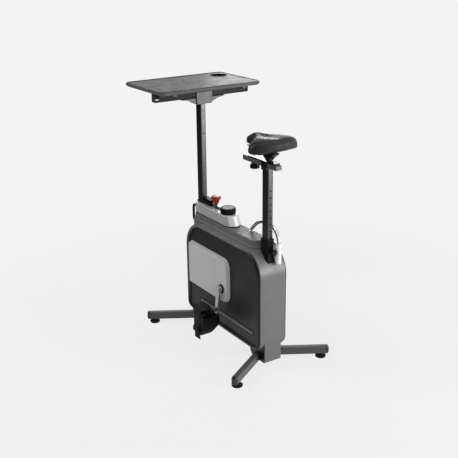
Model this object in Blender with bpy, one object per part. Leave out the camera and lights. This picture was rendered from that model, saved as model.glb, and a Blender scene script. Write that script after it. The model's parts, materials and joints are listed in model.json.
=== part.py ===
"""Desk exercise bike: a floor-standing frame with a pedal drive in a slim case, a height-adjustable
seat post with a fore-aft saddle rail, and a second post that carries a sliding desk.

Units are metres. +X points forward, from the saddle to the desk, +Y to the rider's left and +Z up.
The origin lies on the floor, midway between the rearmost and the foremost point of the bike.
"""

import math

import bmesh
import bpy
from mathutils import Matrix, Vector

# Clearances
GAP = 0.0003
SLIDE_CLEARANCE = 0.0006
BORE_CLEARANCE = 0.0004

# Case: a perimeter band with a cover in each side
CASE_FRONT = 0.255
CASE_REAR = -0.367
CASE_TOP = 0.546
CASE_BOTTOM = 0.078
CASE_HALF_WIDTH = 0.0755
CASE_FRONT_TOP_RADIUS = 0.135
CASE_REAR_TOP_RADIUS = 0.115
CASE_REAR_BOTTOM_RADIUS = 0.050
CASE_FRONT_BOTTOM_RADIUS = 0.036
CASE_EDGE_ROUND = 0.005
CASE_WALL = 0.0035
RIM_WIDTH = 0.016
RIM_DEPTH = 0.0185
COVER_RECESS = 0.009
COVER_THICKNESS = 0.008

# Raised oval moulding on each cover
MOULDING_FRONT = 0.144
MOULDING_REAR = -0.315
MOULDING_HEIGHT_ABOVE_BASE = 0.074
MOULDING_WIDTH = 0.027
MOULDING_WALL = 0.0055
MOULDING_PROUD = 0.0025

# Crank housing on each cover
HOUSING_FRONT = 0.216
HOUSING_REAR = -0.126
HOUSING_TOP = 0.443
HOUSING_BOTTOM = 0.224
HOUSING_RADIUS = 0.045
HOUSING_FRONT_RADIUS = 0.014
HOUSING_PROUD = 0.0215
HOUSING_SHOULDER = 0.011
HOUSING_CREASE = -0.029
HOUSING_FALL = 0.0045

# Drive
CRANK_X = -0.081
CRANK_Z = 0.294
CRANK_LENGTH = 0.131
CRANK_ANGLE = math.radians(8.0)
CRANK_THICKNESS = 0.010
AXLE_RADIUS = 0.010
HUB_RADIUS = 0.0165
SEAL_RADIUS = 0.0225
SEAL_FLANGE = 0.0037
ARM_END_RADIUS = 0.0115
SPINDLE_RADIUS = 0.006
PEDAL_WIDTH = 0.0915
PEDAL_LENGTH = 0.080
PEDAL_TREAD = 0.012
PEDAL_DEPTH = 0.077
PEDAL_INNER_DEPTH = 0.034
PEDAL_SLANT = 0.052
PEDAL_GROOVE_DEPTH = 0.010
STRAP_WIDTH = 0.046
STRAP_FORWARD = 0.006
STRAP_THICKNESS = 0.0025
STRAP_RISE = 0.067
STRAP_FOOT = 0.0335
STRAP_FOOT_DEPTH = 0.0035
STRAP_SHOULDER = 0.022
STRAP_CREST = 0.050
STRAP_TAIL = 0.099
BUCKLE_HEIGHT = 0.031
BUCKLE_THICKNESS = 0.012
BUCKLE_ABOVE_TAIL = 0.036
PULLEY_RADIUS = 0.080
PULLEY_WIDTH = 0.012
FLYWHEEL_X = 0.060
FLYWHEEL_Z = 0.345
FLYWHEEL_RADIUS = 0.105
FLYWHEEL_WIDTH = 0.020
SMALL_PULLEY_RADIUS = 0.024
SHAFT_RADIUS = 0.009
BELT_THICKNESS = 0.003
BELT_CLEARANCE = 0.0006

# Inner frame
PLATE_THICKNESS = 0.008
PLATE_RISE = 0.017
SHELL_RADIUS = 0.021
BEAM_FRONT = 0.190
BEAM_REAR = -0.315
BEAM_HEIGHT = 0.022
BEAM_HALF_WIDTH = 0.018
GUIDE_WALL = 0.0025
MAGNET_PIVOT_X = -0.005
MAGNET_PIVOT_RISE = 0.025
MAGNET_PIN_RADIUS = 0.005

# Posts
POST_WIDTH = 0.030
POST_DEPTH = 0.042
POST_CORNER = 0.006
POST_WALL = 0.002
HOLE_RADIUS = 0.0036
HOLE_PITCH = 0.030
SEAT_POST_X = -0.3207
SEAT_POST_TOP = 0.9125
SEAT_POST_BOTTOM = 0.360
SEAT_HOLE_MARGIN = 0.090
SEAT_HOLES = 12
DESK_POST_X = 0.2086
DESK_POST_BOTTOM = 0.300
DESK_HOLE_BELOW_TOP = 0.166

# Neck and console on top of the case
NECK_HEIGHT = 0.032
NECK_FRONT_CENTRE = 0.198
NECK_REAR_CENTRE = -0.2425
NECK_HALF_WIDTH = 0.041
NECK_FLARE = 0.0095
CONSOLE_RISE = 0.050
CONSOLE_HALF_WIDTH = 0.040
CONSOLE_REAR_CENTRE_LOW = -0.046
CONSOLE_REAR_CENTRE_TOP = -0.026
SEAL_HEIGHT = 0.0045
DIAL_X = -0.013
DIAL_RADIUS = 0.0355
DIAL_HEIGHT = 0.028
DIAL_SPINDLE_RADIUS = 0.006
LEVER_X = 0.088
LEVER_PIVOT_RISE = 0.020
LEVER_STEM_RADIUS = 0.0045
LEVER_KNOB_RISE = 0.011
LEVER_KNOB_RADIUS = 0.0235
LEVER_KNOB_HEIGHT = 0.047
LEVER_POCKET_REAR = 0.046
LEVER_POCKET_FRONT = 0.100
LEVER_POCKET_HALF_WIDTH = 0.0088
LOCK_REAR = 0.1135
LOCK_HALF_WIDTH = 0.0155
LOCK_HEIGHT = 0.028
LOCK_PIN_RADIUS = 0.0045
LOCK_PIN_RISE = 0.0175

# Collar of the seat post
COLLAR_HEIGHT = 0.054
COLLAR_WALL = 0.005
COLLAR_FLARE = 0.003
SEAT_PIN_BELOW_CASE = 0.0005
SEAT_PIN_RADIUS = 0.0032
SEAT_KNOB_RADIUS = 0.0135
SEAT_KNOB_LENGTH = 0.016
SEAT_BOSS_LENGTH = 0.009

# Handles
LOOP_RADIUS = 0.0065
LOOP_REACH = 0.296
LOOP_ABOVE_NECK = 0.012
LOOP_BELOW_CASE = 0.0345
LOOP_CORNER = 0.014
HANDLE_RADIUS = 0.008
HANDLE_SIDE = -0.0268
HANDLE_FRONT = -0.166
HANDLE_REAR = -0.366
HANDLE_HEIGHT = 0.109
SLEEVE_RADIUS = 0.0125
SLEEVE_ABOVE_CASE = 0.034
SLEEVE_LENGTH = 0.093

# Stand
BRACKET_HALF_WIDTH = 0.0458
BRACKET_BOTTOM = 0.020
BRACKET_PROUD = 0.0015
BRACKET_TOP = 0.120
BRACKET_REACH = 0.125
LEG_WIDTH = 0.028
LEG_HEIGHT = 0.038
LEG_BOTTOM = 0.018
LEG_CORNER = 0.006
FRONT_FOOT_X = 0.3255
FRONT_FOOT_Y = 0.2265
REAR_FOOT_X = -0.4242
REAR_FOOT_Y = 0.2313
LEG_ANGLE = math.radians(31.3)
LEG_PAST_FOOT = 0.0221
CAP_LENGTH = 0.0142
FOOT_RADIUS = 0.025
FOOT_HEIGHT = 0.010
FOOT_STEM_RADIUS = 0.005
FOOT_STEM_LENGTH = 0.024

# Saddle rail and saddle
RAIL_FRONT = -0.158
RAIL_REAR = -0.397
RAIL_ABOVE_POST = 0.0035
RAIL_HEIGHT = 0.022
RAIL_WIDTH = 0.031
RAIL_WALL = 0.0022
CARRIAGE_FRONT = -0.196
CARRIAGE_REAR = -0.386
CARRIAGE_PLATE = 0.006
CHEEK_FRONT = -0.298
CHEEK_REAR = -0.336
CHEEK_THICKNESS = 0.003
CHEEK_DROP = 0.016
LOCK_KNOB_X = -0.2264
LOCK_KNOB_RADIUS = 0.020
LOCK_KNOB_HEIGHT = 0.026
LOCK_SCREW_RADIUS = 0.004
SADDLE_SLIDE = 0.045
CLAMP_X = -0.333
CLAMP_PIVOT_RISE = 0.018
CLAMP_PIN_RADIUS = 0.004
CLAMP_RADIUS = 0.011
CLAMP_WIDTH = 0.026
SADDLE_NOSE = -0.178
SADDLE_TAIL = -0.426
SADDLE_HALF_WIDTH = 0.124
SADDLE_NOSE_HALF_WIDTH = 0.026
SADDLE_THICKNESS = 0.059
SADDLE_SKIRT_RISE = 0.036
SADDLE_TAIL_LIFT = 0.016
SADDLE_WING_DROOP = 0.005
SADDLE_CHANNEL = 0.010
SADDLE_PAN_THICKNESS = 0.007

# Desk
BEAM_INSET = 0.0337
DESK_BEAM_REAR = 0.1775
DESK_BEAM_FRONT = 0.234
DESK_BEAM_HEIGHT = 0.0254
HEAD_REAR = 0.172
HEAD_HEIGHT = 0.0282
HEAD_CAP = 0.0032
HEAD_LAP = 0.0202
HEAD_HALF_WIDTH = 0.041
GUSSET_SPAN = 0.112
GUSSET_EDGE = 0.003
GUSSET_INSET = 0.006
BAR_INSET = 0.0167
BAR_X = 0.200
BAR_WIDTH = 0.024
BAR_THICKNESS = 0.006
DESK_REAR = 0.096
DESK_FRONT = 0.4515
DESK_HALF_WIDTH = 0.2687
DESK_TOP_HEIGHT = 1.1945
DESK_THICKNESS = 0.0188
DESK_CORNER = 0.030
DESK_RIM = 0.009
DESK_DISH = 0.002
RUNNER_INSET = 0.0837
RUNNER_HEIGHT = 0.0105
RUNNER_WIDTH = 0.020
RUNNER_REAR = 0.118
RUNNER_FRONT = 0.308
CUP_FROM_FRONT = 0.0895
CUP_FROM_SIDE = 0.0697
CUP_RADIUS = 0.041
CUP_DEPTH = 0.045
CUP_WALL = 0.002
SLOT_FROM_FRONT = 0.0235
SLOT_LENGTH = 0.106
SLOT_WIDTH = 0.007
SLOT_DEPTH = 0.009
PAD_FROM_FRONT = 0.1575
PAD_RADIUS = 0.042

# Sizes that follow from the ones above
NECK_TOP = CASE_TOP + NECK_HEIGHT
CONSOLE_TOP = NECK_TOP + CONSOLE_RISE
LEVER_PIVOT_Z = NECK_TOP + LEVER_PIVOT_RISE
LEVER_KNOB_BASE = CONSOLE_TOP + LEVER_KNOB_RISE
LOCK_PIN_Z = CONSOLE_TOP + LOCK_PIN_RISE
COLLAR_TOP = CASE_TOP + COLLAR_HEIGHT
SEAT_PIN_Z = CASE_TOP - SEAT_PIN_BELOW_CASE
LOOP_HIGH = NECK_TOP + LOOP_ABOVE_NECK
LOOP_LOW = CASE_TOP - LOOP_BELOW_CASE
HANDLE_TOP = CASE_TOP + HANDLE_HEIGHT
SLEEVE_TOP = CASE_TOP + SLEEVE_ABOVE_CASE
SLEEVE_BOTTOM = SLEEVE_TOP - SLEEVE_LENGTH
MAGNET_PIVOT_Z = FLYWHEEL_Z + FLYWHEEL_RADIUS + MAGNET_PIVOT_RISE
PLATE_TOP = MAGNET_PIVOT_Z + PLATE_RISE
RAIL_BOTTOM = SEAT_POST_TOP + RAIL_ABOVE_POST
RAIL_TOP = RAIL_BOTTOM + RAIL_HEIGHT
CLAMP_PIVOT_Z = RAIL_TOP + CLAMP_PIVOT_RISE
SADDLE_SKIRT = CLAMP_PIVOT_Z + SADDLE_SKIRT_RISE
SADDLE_CROWN = SADDLE_SKIRT + SADDLE_THICKNESS
DESK_UNDERSIDE = DESK_TOP_HEIGHT - DESK_THICKNESS
DESK_BEAM_BOTTOM = DESK_UNDERSIDE - RUNNER_HEIGHT - DESK_BEAM_HEIGHT
BAR_BOTTOM = DESK_BEAM_BOTTOM - GAP - BAR_THICKNESS
HEAD_TOP = BAR_BOTTOM - GAP
HEAD_BOTTOM = HEAD_TOP - HEAD_HEIGHT
HEAD_PLATE_TOP = DESK_BEAM_BOTTOM + HEAD_LAP
DESK_POST_TOP = HEAD_TOP - HEAD_CAP
DESK_POST_HOLE = DESK_POST_TOP - DESK_HOLE_BELOW_TOP
BEAM_SPAN = DESK_HALF_WIDTH - BEAM_INSET
BAR_SPAN = DESK_HALF_WIDTH - BAR_INSET
RUNNER_Y = DESK_HALF_WIDTH - RUNNER_INSET
CUP_X = DESK_FRONT - CUP_FROM_FRONT
CUP_Y = CUP_FROM_SIDE - DESK_HALF_WIDTH
SLOT_X = DESK_FRONT - SLOT_FROM_FRONT
PAD_X = DESK_FRONT - PAD_FROM_FRONT
BAND_INNER_TOP = CASE_TOP - CASE_WALL
COVER_FACE = CASE_HALF_WIDTH - COVER_RECESS
HOUSING_FACE = COVER_FACE + GAP + HOUSING_PROUD
SEAL_FACE = HOUSING_FACE + SEAL_FLANGE - 0.0012
CRANK_INNER = SEAL_FACE + 0.006
CRANK_OUTER = CRANK_INNER + CRANK_THICKNESS
SPINDLE_COLLAR = CRANK_OUTER + GAP
PEDAL_INNER = CRANK_OUTER + 0.0055
PEDAL_OUTER = PEDAL_INNER + PEDAL_WIDTH
CONSOLE_BOTTOM = NECK_TOP + SEAL_HEIGHT + 2 * GAP
FLOOR_TO_BEAM = CASE_BOTTOM + CASE_WALL + GAP
BEAM_TOP = FLOOR_TO_BEAM + BEAM_HEIGHT


def arc(centre_x, centre_y, radius, start, end, steps):
    """Points of an arc, in degrees, both ends included."""
    points = []
    for step in range(steps + 1):
        angle = math.radians(start + (end - start) * step / steps)
        points.append((centre_x + radius * math.cos(angle), centre_y + radius * math.sin(angle)))
    return points


def rounded_box_outline(low_x, high_x, low_y, high_y, radii, steps):
    """Outline of a rectangle with its own radius at each corner: ++, -+, -- and +-."""
    corners = ((high_x, high_y, -1, -1, 0), (low_x, high_y, 1, -1, 90),
               (low_x, low_y, 1, 1, 180), (high_x, low_y, -1, 1, 270))
    points = []
    for (x, y, side_x, side_y, start), radius in zip(corners, radii):
        points += arc(x + side_x * radius, y + side_y * radius, radius, start, start + 90, steps)
    return points


def even_box_outline(centre_x, centre_y, size_x, size_y, radius, steps=3):
    return rounded_box_outline(centre_x - size_x / 2, centre_x + size_x / 2,
                               centre_y - size_y / 2, centre_y + size_y / 2, (radius,) * 4, steps)


def stadium(rear_centre, front_centre, radius, steps=8):
    """Plan of a body with a half-round end at each end of the X axis."""
    return arc(front_centre, 0, radius, -90, 90, steps) + arc(rear_centre, 0, radius, 90, 270, steps)


def circle(centre_x, centre_y, radius, steps):
    return arc(centre_x, centre_y, radius, 0, 360 - 360 / steps, steps - 1)


def case_outline(inset, steps=7):
    """Side view of the case, moved inwards by inset."""
    radii = (CASE_FRONT_TOP_RADIUS, CASE_REAR_TOP_RADIUS, CASE_REAR_BOTTOM_RADIUS, CASE_FRONT_BOTTOM_RADIUS)
    return rounded_box_outline(CASE_REAR + inset, CASE_FRONT - inset, CASE_BOTTOM + inset, CASE_TOP - inset,
                               [max(radius - inset, 0.004) for radius in radii], steps)


def placed(axis, first, second, along):
    """A point of an outline drawn across an axis: XZ for Y, YZ for X and XY for Z."""
    if axis == "x":
        return Vector((along, first, second))
    if axis == "y":
        return Vector((first, along, second))
    return Vector((first, second, along))


def prism(outline, axis, low, high):
    """An outline extruded along an axis from low to high."""
    mesh = bmesh.new()
    base = [mesh.verts.new(placed(axis, first, second, low)) for first, second in outline]
    face = mesh.faces.new(base)
    grown = bmesh.ops.extrude_face_region(mesh, geom=[face])
    moved = [item for item in grown["geom"] if isinstance(item, bmesh.types.BMVert)]
    bmesh.ops.translate(mesh, verts=moved, vec=placed(axis, 0, 0, high - low))
    bmesh.ops.recalc_face_normals(mesh, faces=mesh.faces)
    return mesh


def block(low_x, high_x, low_y, high_y, low_z, high_z):
    corners = [(low_x, low_y), (high_x, low_y), (high_x, high_y), (low_x, high_y)]
    return prism(corners, "z", low_z, high_z)


def loft(rings):
    """Closed solid through rings of equally many points."""
    mesh = bmesh.new()
    loops = [[mesh.verts.new(point) for point in ring] for ring in rings]
    count = len(rings[0])
    for lower, upper in zip(loops, loops[1:]):
        for index in range(count):
            following = (index + 1) % count
            mesh.faces.new((lower[index], lower[following], upper[following], upper[index]))
    mesh.faces.new(loops[0])
    mesh.faces.new(loops[-1])
    bmesh.ops.recalc_face_normals(mesh, faces=mesh.faces)
    return mesh


def turned(profile, axis, centre, steps, ring=False):
    """A profile of (radius, along) points turned round an axis that passes through centre."""
    mesh = bmesh.new()
    direction = placed(axis, 0, 0, 1)
    side = Vector((0, 0, 1)) if axis == "x" else Vector((1, 0, 0))
    points = [mesh.verts.new(Vector(centre) + side * radius + direction * along) for radius, along in profile]
    edges = [mesh.edges.new(pair) for pair in zip(points, points[1:])]
    if ring:
        edges.append(mesh.edges.new((points[-1], points[0])))
    bmesh.ops.spin(mesh, geom=points + edges, cent=centre, axis=direction, angle=math.tau, steps=steps)
    bmesh.ops.remove_doubles(mesh, verts=mesh.verts, dist=0.00001)
    bmesh.ops.recalc_face_normals(mesh, faces=mesh.faces)
    return mesh


def rod(axis, centre, radius, low, high, steps=16):
    """A cylinder from low to high along an axis, measured in world coordinates."""
    start = Vector(centre)
    start["xyz".index(axis)] = 0
    return turned([(0, low), (radius, low), (radius, high), (0, high)], axis, start, steps)


def smooth_path(points, steps):
    """A Catmull-Rom curve through the given points."""
    points = [Vector(point) for point in points]
    padded = [points[0] * 2 - points[1]] + points + [points[-1] * 2 - points[-2]]
    path = []
    for a, b, c, d in zip(padded, padded[1:], padded[2:], padded[3:]):
        for step in range(steps):
            t = step / steps
            path.append(0.5 * (2 * b + (c - a) * t + (2 * a - 5 * b + 4 * c - d) * t * t
                               + (3 * b - a - 3 * c + d) * t ** 3))
    path.append(points[-1])
    return path


def tube(path, radius, sides=12):
    """A round bar along a path that lies in a plane of constant Y."""
    rings = []
    for index, point in enumerate(path):
        before = path[max(index - 1, 0)]
        after = path[min(index + 1, len(path) - 1)]
        along = (after - before).normalized()
        across = Vector((0, 1, 0))
        up = along.cross(across)
        rings.append([point + radius * (math.cos(a) * across + math.sin(a) * up)
                      for a in (math.tau * side / sides for side in range(sides))])
    return loft(rings)


ORIGINS = {}
MATERIALS = {}


def material(name, colour, roughness, metallic=0.0):
    if name not in MATERIALS:
        made = bpy.data.materials.new(name)
        made.use_nodes = True
        shader = made.node_tree.nodes["Principled BSDF"]
        shader.inputs["Base Color"].default_value = (*colour, 1.0)
        shader.inputs["Roughness"].default_value = roughness
        shader.inputs["Metallic"].default_value = metallic
        made.diffuse_color = (*colour, 1.0)
        MATERIALS[name] = made
    return MATERIALS[name]


def linked(name, mesh):
    data = bpy.data.meshes.new(name)
    mesh.to_mesh(data)
    mesh.free()
    item = bpy.data.objects.new(name, data)
    bpy.context.scene.collection.objects.link(item)
    return item


def baked(item):
    """Applies the object's modifiers to its mesh."""
    bpy.context.view_layer.update()
    graph = bpy.context.evaluated_depsgraph_get()
    data = bpy.data.meshes.new_from_object(item.evaluated_get(graph))
    old = item.data
    item.modifiers.clear()
    item.data = data
    bpy.data.meshes.remove(old)
    return item


def combine(item, mesh, operation):
    tool = linked("tool", mesh)
    modifier = item.modifiers.new("boolean", "BOOLEAN")
    modifier.operation = operation
    modifier.solver = "EXACT"
    modifier.object = tool
    baked(item)
    data = tool.data
    bpy.data.objects.remove(tool)
    bpy.data.meshes.remove(data)
    return item


def cut(item, mesh):
    return combine(item, mesh, "DIFFERENCE")


def add(item, mesh):
    return combine(item, mesh, "UNION")


def rounded(item, width, segments=2, angle=40.0):
    modifier = item.modifiers.new("edges", "BEVEL")
    modifier.width = width
    modifier.segments = segments
    modifier.limit_method = "ANGLE"
    modifier.angle_limit = math.radians(angle)
    return baked(item)


def finished(item, look, origin=(0, 0, 0), parent=None, smooth=35.0):
    """Gives a piece its look, its own origin and its parent; the mesh stays where it was built."""
    item.data.transform(Matrix.Translation(-Vector(origin)))
    ORIGINS[item.name] = Vector(origin)
    item.location = ORIGINS[item.name]
    if parent is not None:
        item.parent = parent
        item.location = ORIGINS[item.name] - ORIGINS[parent.name]
    item.data.materials.clear()
    item.data.materials.append(look)
    item.data.polygons.foreach_set("material_index", [0] * len(item.data.polygons))
    item.data.shade_smooth()
    item.data.set_sharp_from_angle(angle=math.radians(smooth))
    return item


def looks():
    return {
        "case": material("case_grey", (0.135, 0.137, 0.140), 0.52, 0.15),
        "cover": material("cover_dark", (0.022, 0.023, 0.025), 0.45),
        "silver": material("silver_paint", (0.42, 0.42, 0.43), 0.38, 0.55),
        "neck": material("neck_grey", (0.075, 0.077, 0.080), 0.50, 0.1),
        "black": material("black_plastic", (0.012, 0.012, 0.013), 0.42),
        "post": material("post_black", (0.020, 0.020, 0.022), 0.35, 0.3),
        "steel": material("bright_steel", (0.62, 0.62, 0.63), 0.22, 1.0),
        "chrome": material("chrome_tube", (0.70, 0.70, 0.71), 0.10, 1.0),
        "pale": material("pale_sleeve", (0.72, 0.73, 0.74), 0.35, 0.2),
        "red": material("red_knob", (0.30, 0.012, 0.014), 0.35),
        "leg": material("leg_grey", (0.085, 0.086, 0.089), 0.45, 0.3),
        "rubber": material("foot_rubber", (0.010, 0.010, 0.010), 0.75),
        "saddle": material("saddle_vinyl", (0.030, 0.031, 0.033), 0.48),
        "desk": material("desk_grey", (0.115, 0.117, 0.120), 0.48, 0.05),
        "iron": material("cast_iron", (0.10, 0.10, 0.10), 0.60, 0.8),
    }


def case_band(look):
    band = linked("case_band", prism(case_outline(0), "y", -CASE_HALF_WIDTH, CASE_HALF_WIDTH))
    rounded(band, CASE_EDGE_ROUND, 2, 60)
    inner = CASE_HALF_WIDTH - RIM_DEPTH
    cut(band, prism(case_outline(CASE_WALL), "y", -inner, inner))
    cut(band, prism(case_outline(RIM_WIDTH), "y", -CASE_HALF_WIDTH * 2, CASE_HALF_WIDTH * 2))
    for post_x in (SEAT_POST_X, DESK_POST_X):
        cut(band, prism(guide_outline(post_x, GAP), "z", CASE_TOP - CASE_FRONT_TOP_RADIUS, CASE_TOP * 1.2))
    return finished(band, look["case"])


def side_cover(name, side, look):
    outer = side * COVER_FACE
    inner = side * (COVER_FACE - COVER_THICKNESS)
    cover = linked(name, prism(case_outline(RIM_WIDTH + GAP), "y", min(outer, inner), max(outer, inner)))
    middle = CASE_BOTTOM + MOULDING_HEIGHT_ABOVE_BASE
    radius = MOULDING_WIDTH / 2
    proud = side * (COVER_FACE + MOULDING_PROUD)
    root = side * (COVER_FACE - COVER_THICKNESS / 2)
    shape = [(x, z + middle) for x, z in stadium(MOULDING_REAR + radius, MOULDING_FRONT - radius, radius, 6)]
    add(cover, prism(shape, "y", min(root, proud), max(root, proud)))
    radius -= MOULDING_WALL
    floor = side * (COVER_FACE - 0.001)
    shape = [(x, z + middle) for x, z in stadium(MOULDING_REAR + radius + MOULDING_WALL,
                                                 MOULDING_FRONT - radius - MOULDING_WALL, radius, 6)]
    cut(cover, prism(shape, "y", min(floor, proud * 1.2), max(floor, proud * 1.2)))
    bore = AXLE_RADIUS + 0.004
    cut(cover, rod("y", (CRANK_X, 0, CRANK_Z), bore, -CASE_HALF_WIDTH * 2, CASE_HALF_WIDTH * 2, 20))
    return finished(cover, look["cover"])


def housing_outline(inset):
    corner = HOUSING_RADIUS - inset * 0.8
    front = HOUSING_FRONT_RADIUS - inset * 0.8
    return rounded_box_outline(HOUSING_REAR + inset, HOUSING_FRONT - inset,
                               HOUSING_BOTTOM + inset, HOUSING_TOP - inset, (front, corner, corner, front), 6)


def crank_housing(name, side, look):
    """The raised cover over the crank bearing: chamfered all round, its rear third falling towards the case."""
    base = COVER_FACE + GAP
    levels = ((0.0, base), (0.0015, base + 0.007), (HOUSING_SHOULDER * 0.75, HOUSING_FACE - 0.003),
              (HOUSING_SHOULDER, HOUSING_FACE))
    rings = [[Vector((x, side * level, z)) for x, z in housing_outline(inset)] for inset, level in levels]
    housing = linked(name, loft(rings))
    rear = HOUSING_REAR - HOUSING_SHOULDER
    run = HOUSING_CREASE - rear
    fall = HOUSING_FALL * run / (HOUSING_CREASE - HOUSING_REAR - HOUSING_SHOULDER)
    wedge = [(HOUSING_CREASE, side * HOUSING_FACE), (rear, side * (HOUSING_FACE - fall)),
             (rear, side * (HOUSING_FACE + 0.01)), (HOUSING_CREASE, side * (HOUSING_FACE + 0.01))]
    cut(housing, prism(wedge, "z", HOUSING_BOTTOM - 0.01, HOUSING_TOP + 0.01))
    bore = seal_sleeve_radius() + GAP
    cut(housing, rod("y", (CRANK_X, 0, CRANK_Z), bore, -CASE_HALF_WIDTH * 2, CASE_HALF_WIDTH * 2, 20))
    return finished(housing, look["silver"])


def seal_sleeve_radius():
    return AXLE_RADIUS + 0.005


def axle_seal(name, side, look):
    """Black ring round the crank axle, seated in the bore of the housing."""
    inner = AXLE_RADIUS + BORE_CLEARANCE
    foot = COVER_FACE + GAP + 0.002
    profile = [(inner, side * foot), (seal_sleeve_radius(), side * foot),
               (seal_sleeve_radius(), side * (HOUSING_FACE - 0.0009)), (SEAL_RADIUS, side * (HOUSING_FACE - 0.0009)),
               (SEAL_RADIUS - 0.001, side * SEAL_FACE), (inner, side * SEAL_FACE)]
    return finished(linked(name, turned(profile, "y", (CRANK_X, 0, CRANK_Z), 20, True)), look["black"])


def guide_outline(post_x, extra=0.0):
    """Outer outline of the square guide tube that a post slides in."""
    growth = 2 * (SLIDE_CLEARANCE + GUIDE_WALL + extra)
    return even_box_outline(post_x, 0, POST_DEPTH + growth, POST_WIDTH + growth, POST_CORNER + growth / 2, 3)


def post_outline(post_x, extra=0.0):
    return even_box_outline(post_x, 0, POST_DEPTH + 2 * extra, POST_WIDTH + 2 * extra, POST_CORNER + extra, 3)


def seat_guide_top():
    return COLLAR_TOP - 0.015


def inner_frame(look):
    """Welded frame: a base beam, a guide tube for each post, the bearing plate and the crank shell."""
    frame = linked("inner_frame", block(BEAM_REAR, BEAM_FRONT, -BEAM_HALF_WIDTH, BEAM_HALF_WIDTH,
                                        FLOOR_TO_BEAM, BEAM_TOP))
    for post_x, top in ((SEAT_POST_X, seat_guide_top()), (DESK_POST_X, NECK_TOP - 0.0005)):
        add(frame, prism(guide_outline(post_x), "z", BEAM_TOP - 0.003, top))
        cut(frame, prism(post_outline(post_x, SLIDE_CLEARANCE), "z", BEAM_TOP, top + 0.05))
    plate = [(CRANK_X - 0.052, BEAM_TOP - 0.004), (CRANK_X - 0.034, CRANK_Z + 0.02), (CRANK_X + 0.02, CRANK_Z + 0.08),
             (MAGNET_PIVOT_X - 0.018, PLATE_TOP), (MAGNET_PIVOT_X + 0.055, PLATE_TOP),
             (FLYWHEEL_X + 0.046, FLYWHEEL_Z + 0.02), (FLYWHEEL_X + 0.075, BEAM_TOP - 0.004)]
    add(frame, prism(plate, "y", -PLATE_THICKNESS * 0.75, PLATE_THICKNESS * 0.25))
    add(frame, rod("y", (CRANK_X, 0, CRANK_Z), SHELL_RADIUS, -0.046, PLATE_THICKNESS * 0.25, 24))
    window = [(CRANK_X - 0.010, BEAM_TOP + 0.022), (CRANK_X + 0.012, CRANK_Z - 0.048),
              (FLYWHEEL_X + 0.012, FLYWHEEL_Z - 0.080), (FLYWHEEL_X + 0.040, BEAM_TOP + 0.022)]
    cut(frame, prism(window, "y", -PLATE_THICKNESS, PLATE_THICKNESS))
    cut(frame, rod("y", (CRANK_X, 0, CRANK_Z), AXLE_RADIUS + BORE_CLEARANCE, -0.06, 0.06, 20))
    cut(frame, rod("y", (FLYWHEEL_X, 0, FLYWHEEL_Z), SHAFT_RADIUS + BORE_CLEARANCE, -0.06, 0.06, 20))
    add(frame, rod("y", (MAGNET_PIVOT_X, 0, MAGNET_PIVOT_Z), MAGNET_PIN_RADIUS, -0.043, 0.0, 14))
    pin_hole = SEAT_PIN_RADIUS + BORE_CLEARANCE
    cut(frame, rod("x", (0, 0, SEAT_PIN_Z), pin_hole, SEAT_POST_X - POST_DEPTH, SEAT_POST_X - POST_DEPTH / 4, 16))
    return finished(frame, look["iron"])


def pulley_low():
    return PLATE_THICKNESS * 0.25 + 0.010


def crank_axle(look):
    """Crank axle with the drive pulley welded to it beside the bearing plate."""
    low = pulley_low()
    high = low + PULLEY_WIDTH
    end = CRANK_OUTER - 0.001
    hub = AXLE_RADIUS + 0.010
    rim = PULLEY_RADIUS - 0.010
    profile = [(0, -end), (AXLE_RADIUS, -end), (AXLE_RADIUS, low - 0.004), (hub, low - 0.004), (hub, low + 0.003),
               (rim, low + 0.003), (rim, low), (PULLEY_RADIUS, low), (PULLEY_RADIUS, high), (rim, high),
               (rim, high - 0.003), (hub, high - 0.003), (hub, high + 0.004), (AXLE_RADIUS, high + 0.004),
               (AXLE_RADIUS, end), (0, end)]
    item = linked("crank_axle", turned(profile, "y", (CRANK_X, 0, CRANK_Z), 24))
    return finished(item, look["steel"], (CRANK_X, 0, CRANK_Z))


def crank_end(side):
    """Centre of the pedal spindle: the left crank hangs, the right one stands."""
    reach = side * CRANK_LENGTH
    return (CRANK_X + reach * math.sin(CRANK_ANGLE), CRANK_Z - reach * math.cos(CRANK_ANGLE))


def crank_arm(name, side, look, parent):
    end_x, end_z = crank_end(side)
    inner = side * CRANK_INNER
    outer = side * CRANK_OUTER
    along = Vector((end_x - CRANK_X, end_z - CRANK_Z)).normalized()
    normal = Vector((-along.y, along.x))
    turn = math.degrees(math.atan2(normal.y, normal.x))
    outline = arc(CRANK_X, CRANK_Z, HUB_RADIUS - 0.004, turn, turn + 180, 6)
    outline += arc(end_x, end_z, ARM_END_RADIUS - 0.002, turn + 180, turn + 360, 6)
    crank = linked(name, prism(outline, "y", min(inner, outer), max(inner, outer)))
    hub_low = side * (CRANK_INNER - 0.005)
    hub_high = side * (CRANK_OUTER + 0.002)
    add(crank, rod("y", (CRANK_X, 0, CRANK_Z), HUB_RADIUS, min(hub_low, hub_high), max(hub_low, hub_high), 18))
    add(crank, rod("y", (end_x, 0, end_z), ARM_END_RADIUS, min(inner, outer), max(inner, outer), 16))
    cut(crank, rod("y", (CRANK_X, 0, CRANK_Z), AXLE_RADIUS + GAP, -2 * CRANK_OUTER, 2 * CRANK_OUTER, 24))
    cut(crank, rod("y", (end_x, 0, end_z), SPINDLE_RADIUS + GAP, -2 * CRANK_OUTER, 2 * CRANK_OUTER, 12))
    return finished(crank, look["steel"], (CRANK_X, 0, CRANK_Z), parent)


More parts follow.
